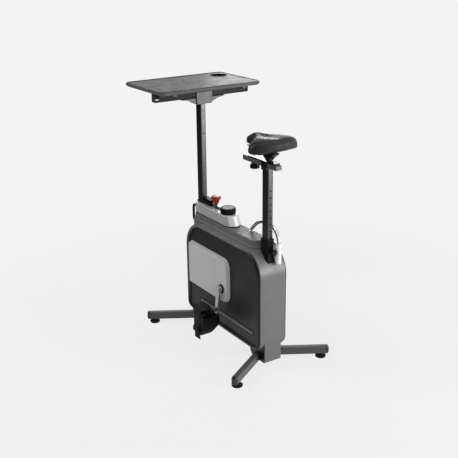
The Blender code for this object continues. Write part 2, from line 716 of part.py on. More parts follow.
def pedal_spindle(name, side, look, parent):
    end_x, end_z = crank_end(side)
    profile = [(0, side * CRANK_INNER), (SPINDLE_RADIUS, side * CRANK_INNER),
               (SPINDLE_RADIUS, side * SPINDLE_COLLAR), (SPINDLE_RADIUS + 0.0035, side * SPINDLE_COLLAR),
               (SPINDLE_RADIUS + 0.0035, side * (PEDAL_INNER - 0.0009)), (SPINDLE_RADIUS, side * (PEDAL_INNER - 0.0009)),
               (SPINDLE_RADIUS, side * (PEDAL_OUTER - 0.002)), (0, side * (PEDAL_OUTER - 0.002))]
    item = linked(name, turned(profile, "y", (end_x, 0, end_z), 12))
    return finished(item, look["steel"], (end_x, 0, end_z), parent)


def pedal_profile(end_x, end_z):
    """Side view of the pedal: a flat tread over a boat-shaped weight."""
    half = PEDAL_LENGTH / 2
    hull = [(end_x + half * math.copysign(abs(math.cos(a)) ** 0.45, math.cos(a)), end_z - PEDAL_DEPTH * math.sin(a) ** 0.5)
            for a in (math.pi * step / 12 for step in range(1, 12))]
    return [(end_x - half, end_z + PEDAL_TREAD), (end_x + half, end_z + PEDAL_TREAD), (end_x + half, end_z - 0.004)] \
        + hull + [(end_x - half, end_z - 0.004)]


def strap_edges(end_x):
    """Rear and front edge of the toe strap, which sits a little forward of the spindle."""
    return end_x + STRAP_FORWARD - STRAP_WIDTH / 2, end_x + STRAP_FORWARD + STRAP_WIDTH / 2


def pedal(name, side, look, parent):
    """Self-levelling pedal: grooved tread with a slot for the strap, and a weighted hull below."""
    end_x, end_z = crank_end(side)
    middle = side * (PEDAL_INNER + PEDAL_OUTER) / 2
    tread = end_z + PEDAL_TREAD
    body = linked(name, prism(pedal_profile(end_x, end_z), "y", middle - PEDAL_WIDTH / 2, middle + PEDAL_WIDTH / 2))
    deep = end_z - PEDAL_DEPTH - 0.001
    slant = [(side * (PEDAL_INNER - 0.01), deep), (side * (PEDAL_INNER - 0.01), end_z - PEDAL_INNER_DEPTH),
             (side * PEDAL_INNER, end_z - PEDAL_INNER_DEPTH), (side * (PEDAL_INNER + PEDAL_SLANT), deep)]
    cut(body, prism(slant, "x", end_x - PEDAL_LENGTH, end_x + PEDAL_LENGTH))
    for reach in (-PEDAL_LENGTH * 0.30, PEDAL_LENGTH * 0.30):
        cut(body, prism(even_box_outline(end_x + reach, middle, PEDAL_LENGTH * 0.28, PEDAL_WIDTH - 0.022, 0.004, 2), "z",
                        tread - PEDAL_GROOVE_DEPTH, tread + 0.01))
    rear, front = strap_edges(end_x)
    slot = sorted((side * (PEDAL_INNER + STRAP_FOOT - GAP),
                   side * (PEDAL_INNER + STRAP_FOOT + STRAP_THICKNESS + GAP)))
    cut(body, block(rear - GAP, front + GAP, slot[0], slot[1], tread - STRAP_FOOT_DEPTH - GAP, tread + 0.01))
    cut(body, rod("y", (end_x, 0, end_z), SPINDLE_RADIUS + BORE_CLEARANCE, -0.4, 0.4, 12))
    return finished(body, look["black"], (end_x, middle, end_z), parent)


def strap_line(side, end_z, inward):
    """Run of the strap seen from behind, from its foot in the tread over the arch down to the tail."""
    crest = PEDAL_INNER + STRAP_CREST
    near = STRAP_CREST - STRAP_FOOT - inward
    far = PEDAL_WIDTH + GAP + STRAP_THICKNESS - STRAP_CREST - inward
    top = end_z + STRAP_RISE
    tread = end_z + PEDAL_TREAD
    line = [(crest - near, tread - STRAP_FOOT_DEPTH)]
    line += [(crest - near * math.cos(a), top - STRAP_SHOULDER + (STRAP_SHOULDER - inward) * math.sin(a))
             for a in (math.pi * step / 12 for step in range(6))]
    line += [(crest + far * math.sin(a) ** 1.3, tread + (STRAP_RISE - PEDAL_TREAD - inward) * math.cos(a))
             for a in (math.pi * step / 18 for step in range(10))]
    line.append((crest + far, end_z - STRAP_TAIL))
    return [(side * reach, height) for reach, height in line]


def pedal_strap(name, side, look, parent):
    """Toe strap arched over the tread, its long tail and buckle outside the pedal."""
    end_x, end_z = crank_end(side)
    rear, front = strap_edges(end_x)
    outline = strap_line(side, end_z, 0.0) + strap_line(side, end_z, STRAP_THICKNESS)[::-1]
    item = linked(name, prism(outline, "x", rear, front))
    face = PEDAL_OUTER + GAP + STRAP_THICKNESS
    low = end_z - STRAP_TAIL + BUCKLE_ABOVE_TAIL
    proud = face + BUCKLE_THICKNESS
    buckle = [(face - 0.001, low), (proud - 0.004, low), (proud, low + 0.005), (proud, low + BUCKLE_HEIGHT - 0.010),
              (proud - 0.005, low + BUCKLE_HEIGHT - 0.002), (face - 0.001, low + BUCKLE_HEIGHT)]
    add(item, prism([(side * reach, height) for reach, height in buckle], "x", rear + 0.004, front - 0.004))
    return finished(item, look["rubber"], (end_x, side * (PEDAL_INNER + PEDAL_OUTER) / 2, end_z), parent)


def flywheel(look):
    """Flywheel disc, its shaft through the bearing plate and the small belt pulley on the far side."""
    near = -PLATE_THICKNESS * 0.75 - 0.006
    far = near - FLYWHEEL_WIDTH
    web = FLYWHEEL_WIDTH * 0.32
    low = pulley_low()
    high = low + PULLEY_WIDTH
    profile = [(0, far - 0.004), (0.022, far - 0.004), (0.022, far + web), (FLYWHEEL_RADIUS * 0.76, far + web),
               (FLYWHEEL_RADIUS * 0.79, far), (FLYWHEEL_RADIUS, far), (FLYWHEEL_RADIUS, near),
               (FLYWHEEL_RADIUS * 0.79, near), (FLYWHEEL_RADIUS * 0.76, near - web), (0.022, near - web),
               (0.022, near + 0.002), (SHAFT_RADIUS, near + 0.002), (SHAFT_RADIUS, low - 0.001),
               (SMALL_PULLEY_RADIUS, low - 0.001), (SMALL_PULLEY_RADIUS, high + 0.001), (0, high + 0.001)]
    item = linked("flywheel", turned(profile, "y", (FLYWHEEL_X, 0, FLYWHEEL_Z), 24))
    return finished(item, look["iron"], (FLYWHEEL_X, 0, FLYWHEEL_Z))


def belt_loop(extra):
    """Outline of a band stretched round both pulleys, at a distance extra from them."""
    run = Vector((FLYWHEEL_X - CRANK_X, FLYWHEEL_Z - CRANK_Z))
    lean = math.degrees(math.atan2(run.y, run.x))
    wrap = math.degrees(math.acos((PULLEY_RADIUS - SMALL_PULLEY_RADIUS) / run.length))
    big = arc(CRANK_X, CRANK_Z, PULLEY_RADIUS + extra, lean + wrap, lean + 360 - wrap, 22)
    small = arc(FLYWHEEL_X, FLYWHEEL_Z, SMALL_PULLEY_RADIUS + extra, lean - wrap, lean + wrap, 10)
    return big + small


def drive_belt(look):
    low = pulley_low() + 0.001
    high = pulley_low() + PULLEY_WIDTH - 0.001
    belt = linked("drive_belt", prism(belt_loop(BELT_CLEARANCE + BELT_THICKNESS), "y", low, high))
    cut(belt, prism(belt_loop(BELT_CLEARANCE), "y", low - 0.01, high + 0.01))
    return finished(belt, look["rubber"])


def magnet_arm(look):
    """Hinged bracket whose two cheeks carry the brake magnets either side of the flywheel rim."""
    near = -PLATE_THICKNESS * 0.75
    low = near - FLYWHEEL_WIDTH - 0.0135
    high = near - 0.0008
    top = FLYWHEEL_Z + FLYWHEEL_RADIUS
    outline = [(MAGNET_PIVOT_X - 0.011, MAGNET_PIVOT_Z + 0.009), (MAGNET_PIVOT_X + 0.012, MAGNET_PIVOT_Z + 0.012),
               (FLYWHEEL_X + 0.032, top + 0.019), (FLYWHEEL_X + 0.045, top - 0.004), (FLYWHEEL_X + 0.037, top - 0.026),
               (FLYWHEEL_X - 0.030, top - 0.022), (MAGNET_PIVOT_X + 0.019, MAGNET_PIVOT_Z - 0.020),
               (MAGNET_PIVOT_X - 0.006, MAGNET_PIVOT_Z - 0.012)]
    item = linked("magnet_arm", prism(outline, "y", low, high))
    cut(item, rod("y", (FLYWHEEL_X, 0, FLYWHEEL_Z), FLYWHEEL_RADIUS + 0.004, near - FLYWHEEL_WIDTH - 0.009,
                  near - 0.0035, 36))
    cut(item, rod("y", (MAGNET_PIVOT_X, 0, MAGNET_PIVOT_Z), MAGNET_PIN_RADIUS + BORE_CLEARANCE, -0.1, 0.1, 14))
    return finished(item, look["steel"], (MAGNET_PIVOT_X, 0, MAGNET_PIVOT_Z))


def neck(look):
    """The dark deck on top of the case, flared into the case at its foot."""
    levels = ((CASE_TOP - CASE_FRONT_TOP_RADIUS, NECK_FLARE), (CASE_TOP + 0.002, NECK_FLARE),
              (CASE_TOP + 0.006, NECK_FLARE * 0.45), (CASE_TOP + 0.013, NECK_FLARE * 0.12),
              (NECK_TOP - 0.003, 0.0), (NECK_TOP, -0.002))
    rings = [[Vector((x, y, level)) for x, y in stadium(NECK_REAR_CENTRE, NECK_FRONT_CENTRE, NECK_HALF_WIDTH + extra)]
             for level, extra in levels]
    item = linked("neck", loft(rings))
    cut(item, prism(case_outline(-GAP), "y", -CASE_HALF_WIDTH, CASE_HALF_WIDTH))
    cut(item, prism(guide_outline(DESK_POST_X, GAP), "z", CASE_TOP - CASE_FRONT_TOP_RADIUS * 1.2, NECK_TOP + 0.01))
    return finished(item, look["neck"])


def console_seal(look):
    """Thin dark gasket between the neck and the console."""
    shape = stadium(CONSOLE_REAR_CENTRE_LOW, NECK_FRONT_CENTRE, CONSOLE_HALF_WIDTH - 0.0012)
    item = linked("console_seal", prism(shape, "z", NECK_TOP + GAP, NECK_TOP + GAP + SEAL_HEIGHT))
    cut(item, prism(post_outline(DESK_POST_X, SLIDE_CLEARANCE), "z", NECK_TOP - 0.01, CONSOLE_TOP))
    return finished(item, look["black"])


def console(look):
    """Silver console: round at both ends, its rear end leaning forward."""
    levels = ((0.0, 0.0, 0.0), (0.92, 0.92, 0.0), (1.0, 1.0, -0.002))
    rings = []
    for height, lean, extra in levels:
        level = CONSOLE_BOTTOM + (CONSOLE_TOP - CONSOLE_BOTTOM) * height
        rear = CONSOLE_REAR_CENTRE_LOW + (CONSOLE_REAR_CENTRE_TOP - CONSOLE_REAR_CENTRE_LOW) * lean
        shape = stadium(rear, NECK_FRONT_CENTRE, CONSOLE_HALF_WIDTH + extra)
        rings.append([Vector((x, y, level)) for x, y in shape])
    item = linked("console", loft(rings))
    cut(item, prism(post_outline(DESK_POST_X, SLIDE_CLEARANCE), "z", NECK_TOP, CONSOLE_TOP + 0.05))
    pocket = rounded_box_outline(LEVER_POCKET_REAR, LEVER_POCKET_FRONT, -LEVER_POCKET_HALF_WIDTH,
                                 LEVER_POCKET_HALF_WIDTH, (0.003,) * 4, 2)
    cut(item, prism(pocket, "z", LEVER_PIVOT_Z - 0.010, CONSOLE_TOP + 0.05))
    cut(item, rod("z", (DIAL_X, 0, 0), DIAL_SPINDLE_RADIUS + BORE_CLEARANCE, CONSOLE_TOP - 0.020,
                  CONSOLE_TOP + 0.05, 16))
    return finished(item, look["silver"])


def resistance_dial(look):
    base = CONSOLE_TOP + GAP
    top = base + DIAL_HEIGHT
    profile = [(0, base - 0.018), (DIAL_SPINDLE_RADIUS, base - 0.018), (DIAL_SPINDLE_RADIUS, base),
               (DIAL_RADIUS - 0.002, base), (DIAL_RADIUS, base + 0.003), (DIAL_RADIUS, top - 0.003),
               (DIAL_RADIUS - 0.003, top), (DIAL_RADIUS - 0.008, top), (DIAL_RADIUS - 0.010, top - 0.0015),
               (0, top - 0.0015)]
    item = linked("resistance_dial", turned(profile, "z", (DIAL_X, 0, 0), 28))
    add(item, block(DIAL_X - 0.0015, DIAL_X + 0.0015, DIAL_RADIUS - 0.018, DIAL_RADIUS - 0.0095,
                    top - 0.003, top - 0.0005))
    return finished(item, look["black"], (DIAL_X, 0, base))


def desk_collar(look):
    """Guide plate round the desk post with the housing of its lock pin behind it."""
    base = CONSOLE_TOP + GAP
    front = DESK_POST_X + POST_DEPTH / 2 + SLIDE_CLEARANCE + 0.0026
    plate = rounded_box_outline(LOCK_REAR, front, -LOCK_HALF_WIDTH - 0.0024, LOCK_HALF_WIDTH + 0.0024,
                                (0.007, 0.004, 0.004, 0.007), 3)
    item = linked("desk_collar", prism(plate, "z", base, base + 0.006))
    rear_face = DESK_POST_X - POST_DEPTH / 2 - SLIDE_CLEARANCE
    shell = linked("shell", prism(rounded_box_outline(LOCK_REAR, rear_face - 0.001, -LOCK_HALF_WIDTH, LOCK_HALF_WIDTH,
                                                      (0.001, 0.005, 0.005, 0.001), 3), "z", base, base + LOCK_HEIGHT))
    rounded(shell, 0.002, 2, 60)
    source = bmesh.new()
    source.from_mesh(shell.data)
    bpy.data.objects.remove(shell)
    add(item, source)
    cut(item, prism(post_outline(DESK_POST_X, SLIDE_CLEARANCE), "z", base - 0.01, base + 0.1))
    cut(item, rod("x", (0, 0, LOCK_PIN_Z), LOCK_PIN_RADIUS + BORE_CLEARANCE, LOCK_REAR - 0.02, DESK_POST_X, 14))
    return finished(item, look["black"])


def desk_lock_pin(look):
    tip = DESK_POST_X - POST_DEPTH / 2 - GAP
    head = LOCK_REAR - 0.0042
    profile = [(0, head - 0.005), (0.0075, head - 0.005), (0.0075, head), (LOCK_PIN_RADIUS, head),
               (LOCK_PIN_RADIUS, tip - 0.002), (LOCK_PIN_RADIUS - 0.0015, tip), (0, tip)]
    item = linked("desk_lock_pin", turned(profile, "x", (0, 0, LOCK_PIN_Z), 14))
    return finished(item, look["steel"], (tip, 0, LOCK_PIN_Z))


def lever_stem(look):
    stem = linked("lever_stem", rod("z", (LEVER_X, 0, 0), LEVER_STEM_RADIUS, LEVER_PIVOT_Z, LEVER_KNOB_BASE + 0.012, 18))
    width = LEVER_POCKET_HALF_WIDTH - GAP
    add(stem, rod("y", (LEVER_X, 0, LEVER_PIVOT_Z), 0.0068, -width, width, 18))
    return finished(stem, look["black"], (LEVER_X, 0, LEVER_PIVOT_Z))


def lever_knob(look, parent):
    """Red flared knob, narrow at its neck and widest just under its domed top."""
    shape = ((0.0065, 0.0), (0.0085, 0.10), (0.0118, 0.26), (0.0165, 0.45), (0.0215, 0.64), (0.0235, 0.78),
             (0.0228, 0.90), (0.0190, 0.975))
    scale = LEVER_KNOB_RADIUS / 0.0235
    bore = LEVER_STEM_RADIUS + GAP
    profile = [(bore, LEVER_KNOB_BASE)]
    profile += [(radius * scale, LEVER_KNOB_BASE + LEVER_KNOB_HEIGHT * share) for radius, share in shape]
    profile += [(0, LEVER_KNOB_BASE + LEVER_KNOB_HEIGHT), (0, LEVER_KNOB_BASE + 0.012 + GAP),
                (bore, LEVER_KNOB_BASE + 0.012 + GAP)]
    mesh = turned(profile, "z", (LEVER_X, 0, 0), 18, True)
    return finished(linked("lever_knob", mesh), look["red"], (LEVER_X, 0, LEVER_PIVOT_Z), parent)


def front_loop(look):
    """D-shaped grab loop on the round nose of the neck and console."""
    console_nose = NECK_FRONT_CENTRE + CONSOLE_HALF_WIDTH
    neck_nose = NECK_FRONT_CENTRE + NECK_HALF_WIDTH + NECK_FLARE
    bend = LOOP_CORNER
    path = [Vector((console_nose - 0.004, 0, LOOP_HIGH))]
    path += [Vector((x, 0, z)) for x, z in arc(LOOP_REACH - bend, LOOP_HIGH - bend, bend, 90, 0, 4)]
    path += [Vector((x, 0, z)) for x, z in arc(LOOP_REACH - bend, LOOP_LOW + bend, bend, 0, -90, 4)]
    path.append(Vector((neck_nose - 0.004, 0, LOOP_LOW)))
    loop = linked("front_loop", tube(path, LOOP_RADIUS, 10))
    for foot_x, foot_z in ((console_nose, LOOP_HIGH), (neck_nose, LOOP_LOW)):
        add(loop, rod("x", (0, 0, foot_z), LOOP_RADIUS + 0.0035, foot_x - 0.004, foot_x + 0.005, 16))
    cut(loop, prism(stadium(NECK_REAR_CENTRE, NECK_FRONT_CENTRE, CONSOLE_HALF_WIDTH + GAP, 24), "z",
                    NECK_TOP, CONSOLE_TOP))
    cut(loop, prism(stadium(NECK_REAR_CENTRE, NECK_FRONT_CENTRE, NECK_HALF_WIDTH + NECK_FLARE + GAP, 24), "z",
                    CASE_TOP - CASE_FRONT_TOP_RADIUS, CASE_TOP))
    return finished(loop, look["black"])


def collar_outline(extra):
    size = 2 * (COLLAR_WALL + extra)
    return even_box_outline(SEAT_POST_X, 0, POST_DEPTH + size, POST_WIDTH + size, POST_CORNER + COLLAR_WALL, 3)


def collar_rear():
    return SEAT_POST_X - POST_DEPTH / 2 - COLLAR_WALL


def seat_collar(look):
    base = CASE_TOP - CASE_REAR_TOP_RADIUS
    levels = ((base, COLLAR_FLARE), (CASE_TOP - 0.040, COLLAR_FLARE), (CASE_TOP - 0.018, 0.0),
              (COLLAR_TOP - 0.0125, 0.0), (COLLAR_TOP - 0.010, 0.0012), (COLLAR_TOP - 0.002, 0.0012), (COLLAR_TOP, 0.0))
    rings = [[Vector((x, y, level)) for x, y in collar_outline(extra)] for level, extra in levels]
    item = linked("seat_collar", loft(rings))
    add(item, rod("x", (0, 0, SEAT_PIN_Z), SEAT_PIN_RADIUS + 0.0045, collar_rear() - SEAT_BOSS_LENGTH,
                  collar_rear() + 0.003, 16))
    cut(item, prism(case_outline(-GAP), "y", -CASE_HALF_WIDTH, CASE_HALF_WIDTH))
    cut(item, prism(guide_outline(SEAT_POST_X, GAP), "z", base - 0.01, seat_guide_top() + GAP))
    cut(item, prism(post_outline(SEAT_POST_X, SLIDE_CLEARANCE), "z", base - 0.01, COLLAR_TOP + 0.05))
    cut(item, rod("x", (0, 0, SEAT_PIN_Z), SEAT_PIN_RADIUS + BORE_CLEARANCE, CASE_REAR - 0.05, SEAT_POST_X, 16))
    return finished(item, look["black"])


def seat_pin(look):
    """Spring pin with a round pull knob; its tip stops just short of the post."""
    tip = SEAT_POST_X - POST_DEPTH / 2 - GAP
    seat = collar_rear() - SEAT_BOSS_LENGTH - GAP
    end = seat - SEAT_KNOB_LENGTH
    profile = [(0, end), (SEAT_KNOB_RADIUS - 0.003, end), (SEAT_KNOB_RADIUS, end + 0.003),
               (SEAT_KNOB_RADIUS, end + 0.009), (SEAT_KNOB_RADIUS - 0.0045, seat), (SEAT_PIN_RADIUS, seat),
               (SEAT_PIN_RADIUS, tip - 0.001), (SEAT_PIN_RADIUS - 0.001, tip), (0, tip)]
    item = linked("seat_pin", turned(profile, "x", (0, 0, SEAT_PIN_Z), 16))
    return finished(item, look["black"], (tip, 0, SEAT_PIN_Z))


def rear_handle(look):
    """Bright bent tube that arches past the right side of the seat post."""
    deck = NECK_TOP + GAP
    top = HANDLE_TOP
    points = [(HANDLE_FRONT, HANDLE_SIDE, deck), (HANDLE_FRONT, HANDLE_SIDE, deck + 0.006),
              (HANDLE_FRONT, HANDLE_SIDE, deck + 0.012),
              (HANDLE_FRONT - 0.017, HANDLE_SIDE, top - 0.045), (HANDLE_FRONT - 0.050, HANDLE_SIDE, top - 0.020),
              (HANDLE_FRONT - 0.095, HANDLE_SIDE, top - 0.004), (HANDLE_FRONT - 0.140, HANDLE_SIDE, top),
              (HANDLE_REAR + 0.038, HANDLE_SIDE, top - 0.009), (HANDLE_REAR + 0.012, HANDLE_SIDE, top - 0.032),
              (HANDLE_REAR, HANDLE_SIDE, SLEEVE_TOP + 0.018), (HANDLE_REAR, HANDLE_SIDE, SLEEVE_TOP + 0.004),
              (HANDLE_REAR, HANDLE_SIDE, SLEEVE_TOP - 0.014), (HANDLE_REAR, HANDLE_SIDE, SLEEVE_TOP - 0.030)]
    handle = linked("rear_handle", tube(smooth_path(points, 2), HANDLE_RADIUS, 10))
    add(handle, rod("z", (HANDLE_FRONT, HANDLE_SIDE, 0), HANDLE_RADIUS + 0.002, deck, deck + 0.004, 16))
    return finished(handle, look["chrome"])


def handle_sleeve(look):
    """Pale sleeve that holds the rear end of the carry handle against the case."""
    bore = HANDLE_RADIUS + GAP
    base = SLEEVE_BOTTOM
    profile = [(bore, SLEEVE_TOP), (SLEEVE_RADIUS - 0.001, SLEEVE_TOP), (SLEEVE_RADIUS, SLEEVE_TOP - 0.001),
               (SLEEVE_RADIUS, base + 0.006), (SLEEVE_RADIUS - 0.002, base + 0.002), (SLEEVE_RADIUS - 0.006, base),
               (0, base), (0, SLEEVE_TOP - 0.030 - GAP), (bore, SLEEVE_TOP - 0.030 - GAP)]
    item = linked("handle_sleeve", turned(profile, "z", (HANDLE_REAR, HANDLE_SIDE, 0), 16, True))
    lug = block(HANDLE_REAR + SLEEVE_RADIUS - 0.003, HANDLE_REAR + SLEEVE_RADIUS + 0.012,
                HANDLE_SIDE - 0.005, HANDLE_SIDE + 0.005, base + 0.008, base + 0.022)
    add(item, lug)
    cut(item, prism(case_outline(-GAP), "y", -CASE_HALF_WIDTH, CASE_HALF_WIDTH))
    cut(item, prism(collar_outline(COLLAR_FLARE + GAP), "z", base - 0.01, SLEEVE_TOP))
    return finished(item, look["pale"])


def foot_bracket(name, end, look):
    """Bracket under one end of the case: a foot plate that rises round the rounded corner of the case."""
    if end > 0:
        face = CASE_FRONT + BRACKET_PROUD
    else:
        face = CASE_REAR - BRACKET_PROUD
    inner = face - end * BRACKET_REACH
    outline = [(face, BRACKET_TOP), (face, BRACKET_BOTTOM + 0.004), (face - end * 0.006, BRACKET_BOTTOM),
               (face - end * 0.085, BRACKET_BOTTOM), (face - end * 0.105, BRACKET_BOTTOM + 0.010),
               (inner, CASE_BOTTOM - 0.010), (inner, CASE_BOTTOM + 0.004), (face - end * 0.03, BRACKET_TOP)]
    item = linked(name, prism(outline, "y", -BRACKET_HALF_WIDTH, BRACKET_HALF_WIDTH))
    rounded(item, 0.003, 2, 50)
    cut(item, prism(case_outline(-GAP), "y", -CASE_HALF_WIDTH, CASE_HALF_WIDTH))
    return finished(item, look["case"])


def leg_frame(end, side):
    """Foot centre and direction of one leg, from the case outwards."""
    if end > 0:
        foot = Vector((FRONT_FOOT_X, side * FRONT_FOOT_Y, 0))
    else:
        foot = Vector((REAR_FOOT_X, side * REAR_FOOT_Y, 0))
    return foot, Vector((end * math.sin(LEG_ANGLE), side * math.cos(LEG_ANGLE), 0))


def leg_rings(foot, along, distances, shrink):
    across = Vector((-along.y, along.x, 0))
    middle = LEG_BOTTOM + LEG_HEIGHT / 2
    rings = []
    for distance, less in zip(distances, shrink):
        outline = even_box_outline(0, middle, LEG_WIDTH - 2 * less, LEG_HEIGHT - 2 * less, LEG_CORNER - less / 2, 3)
        rings.append([foot + along * distance + across * sideways + Vector((0, 0, height))
                      for sideways, height in outline])
    return rings


def leg(name, end, side, look):
    foot, along = leg_frame(end, side)
    inward = (abs(foot.y) - BRACKET_HALF_WIDTH) / math.cos(LEG_ANGLE) + LEG_WIDTH
    item = linked(name, loft(leg_rings(foot, along, (-inward, LEG_PAST_FOOT), (0, 0))))
    root = BRACKET_HALF_WIDTH + GAP
    edges = sorted((side * root, -side * root * 2))
    cut(item, block(min(foot.x, 0) - 0.3, max(foot.x, 0) + 0.3, edges[0], edges[1], -0.05, CASE_BOTTOM + 0.02))
    cut(item, rod("z", (foot.x, foot.y, 0), FOOT_STEM_RADIUS + BORE_CLEARANCE, 0,
                  LEG_BOTTOM + FOOT_STEM_LENGTH + 0.001, 16))
    return finished(item, look["leg"])


def leg_cap(name, end, side, look):
    """Plastic plug that closes the end of a leg, domed outwards."""
    foot, along = leg_frame(end, side)
    start = LEG_PAST_FOOT + GAP
    distances = [start, start + CAP_LENGTH * 0.45, start + CAP_LENGTH * 0.85, start + CAP_LENGTH]
    item = linked(name, loft(leg_rings(foot, along, distances, (0, 0.0004, 0.003, 0.0065))))
    return finished(item, look["leg"])


def levelling_foot(name, end, side, look):
    foot, _ = leg_frame(end, side)
    seat = LEG_BOTTOM - GAP
    profile = [(0, 0), (FOOT_RADIUS - 0.002, 0), (FOOT_RADIUS, 0.0025), (FOOT_RADIUS, FOOT_HEIGHT - 0.003),
               (0.010, FOOT_HEIGHT + 0.0015), (0.010, seat),
               (FOOT_STEM_RADIUS, seat), (FOOT_STEM_RADIUS, seat + FOOT_STEM_LENGTH), (0, seat + FOOT_STEM_LENGTH)]
    item = linked(name, turned(profile, "z", (foot.x, foot.y, 0), 16))
    return finished(item, look["rubber"], (foot.x, foot.y, seat))


def post_tube(name, post_x, low, high, hole_heights, origin, look):
    """Rectangular post, open at its lower end, with a row of holes in its rear wall."""
    item = linked(name, prism(post_outline(post_x), "z", low, high))
    cut(item, prism(post_outline(post_x, -POST_WALL), "z", low - 0.01, high + 0.01))
    rear = post_x - POST_DEPTH / 2
    for height in hole_heights:
        cut(item, rod("x", (0, 0, height), HOLE_RADIUS, rear - 0.01, rear + 0.01, 10))
    return finished(item, look, origin)


def seat_post(look):
    above = int((SEAT_POST_TOP - SEAT_HOLE_MARGIN - SEAT_PIN_Z) / HOLE_PITCH)
    heights = [SEAT_PIN_Z + HOLE_PITCH * (above - index) for index in range(SEAT_HOLES)]
    return post_tube("seat_post", SEAT_POST_X, SEAT_POST_BOTTOM, SEAT_POST_TOP, heights,
                     (SEAT_POST_X, 0, COLLAR_TOP), look["post"])


def seat_rail(look, parent):
    """Fore-aft rail on top of the post: a slotted box section with closed ends and a socket for the post."""
    half = RAIL_WIDTH / 2
    rail = linked("seat_rail", prism(even_box_outline(0, (RAIL_BOTTOM + RAIL_TOP) / 2, RAIL_WIDTH, RAIL_HEIGHT,
                                                      0.004, 3), "x", RAIL_REAR, RAIL_FRONT))
    inner = even_box_outline(0, (RAIL_BOTTOM + RAIL_TOP) / 2, RAIL_WIDTH - 2 * RAIL_WALL,
                             RAIL_HEIGHT - 2 * RAIL_WALL, 0.002, 2)
    cut(rail, prism(inner, "x", RAIL_REAR + 0.004, RAIL_FRONT - 0.004))
    travel = SADDLE_SLIDE + LOCK_SCREW_RADIUS + 0.001
    slot = even_box_outline(LOCK_KNOB_X, 0, 2 * travel, 2 * (LOCK_SCREW_RADIUS + 0.001), 0.004, 3)
    cut(rail, prism(slot, "z", RAIL_BOTTOM - 0.01, RAIL_TOP + 0.01))
    shoe_bottom = SEAT_POST_TOP + GAP
    front = SEAT_POST_X + POST_DEPTH / 2 + 0.002
    rear = SEAT_POST_X - POST_DEPTH / 2 - 0.002
    add(rail, block(rear, front, -half + 0.0005, half - 0.0005, shoe_bottom, RAIL_BOTTOM + 0.001))
    plug = even_box_outline(SEAT_POST_X, 0, POST_DEPTH - 2 * (POST_WALL + GAP), POST_WIDTH - 2 * (POST_WALL + GAP),
                            POST_CORNER - POST_WALL - GAP, 3)
    add(rail, prism(plug, "z", SEAT_POST_TOP - 0.025, shoe_bottom + 0.001))
    return finished(rail, look["leg"], (SEAT_POST_X, 0, COLLAR_TOP), parent)


def saddle_carriage(look):
    """Sled on top of the rail with two cheeks beside it and the lug of the saddle clamp."""
    base = RAIL_TOP + GAP
    top = base + CARRIAGE_PLATE
    half = RAIL_WIDTH / 2 + GAP + CHEEK_THICKNESS
    sled = linked("saddle_carriage", prism(rounded_box_outline(CARRIAGE_REAR, CARRIAGE_FRONT, -half, half,
                                                               (0.010, 0.006, 0.006, 0.010), 3), "z", base, top))
    for side in (-1, 1):
        edges = sorted((side * (RAIL_WIDTH / 2 + GAP), side * half))
        add(sled, block(CHEEK_REAR, CHEEK_FRONT, edges[0], edges[1], RAIL_BOTTOM - CHEEK_DROP + 0.004, top - 0.001))
    lug = [(CLAMP_X - 0.015, top - 0.001)] + arc(CLAMP_X, CLAMP_PIVOT_Z, 0.0085, 180, 0, 8)
    lug += [(CLAMP_X + 0.015, top - 0.001)]
    add(sled, prism(lug, "y", -0.007, 0.007))
    cut(sled, rod("z", (LOCK_KNOB_X, 0, 0), LOCK_SCREW_RADIUS + GAP, base - 0.01, top + 0.01, 18))
    cut(sled, rod("y", (CLAMP_X, 0, CLAMP_PIVOT_Z), CLAMP_PIN_RADIUS + BORE_CLEARANCE, -0.05, 0.05, 14))
    return finished(sled, look["black"], (LOCK_KNOB_X, 0, RAIL_TOP))


def rail_knob(look):
    """Round clamp knob under the rail; its screw passes the rail's slot into the sled."""
    seat = RAIL_BOTTOM - GAP
    low = seat - LOCK_KNOB_HEIGHT
    top = RAIL_TOP + GAP + CARRIAGE_PLATE - 0.0008
    profile = [(0, low), (LOCK_KNOB_RADIUS - 0.005, low), (LOCK_KNOB_RADIUS - 0.001, low + 0.004),
               (LOCK_KNOB_RADIUS, low + 0.009), (LOCK_KNOB_RADIUS, low + 0.017), (LOCK_KNOB_RADIUS - 0.006, seat - 0.003),
               (LOCK_KNOB_RADIUS - 0.009, seat), (LOCK_SCREW_RADIUS, seat), (LOCK_SCREW_RADIUS, top), (0, top)]
    item = linked("rail_knob", turned(profile, "z", (LOCK_KNOB_X, 0, 0), 18))
    return finished(item, look["black"], (LOCK_KNOB_X, 0, seat))


def saddle_clamp(look):
    """Clamp head that tilts on the lug of the sled and holds the saddle pan."""
    top = pan_height(CLAMP_X) - GAP
    outline = arc(CLAMP_X, CLAMP_PIVOT_Z, CLAMP_RADIUS - 0.002, 190, 350, 8)
    outline += [(CLAMP_X + 0.040, top - 0.009), (CLAMP_X + 0.046, top), (CLAMP_X - 0.046, top),
                (CLAMP_X - 0.040, top - 0.009)]
    half = CLAMP_WIDTH / 2
    item = linked("saddle_clamp", prism(outline, "y", -half - 0.004, half + 0.004))
    cut(item, block(CLAMP_X - 0.06, CLAMP_X + 0.06, -0.0075, 0.0075, CLAMP_PIVOT_Z - 0.03, CLAMP_PIVOT_Z + 0.0105))
    add(item, rod("y", (CLAMP_X, 0, CLAMP_PIVOT_Z), CLAMP_PIN_RADIUS, -half, half, 14))
    return finished(item, look["black"], (CLAMP_X, 0, CLAMP_PIVOT_Z))


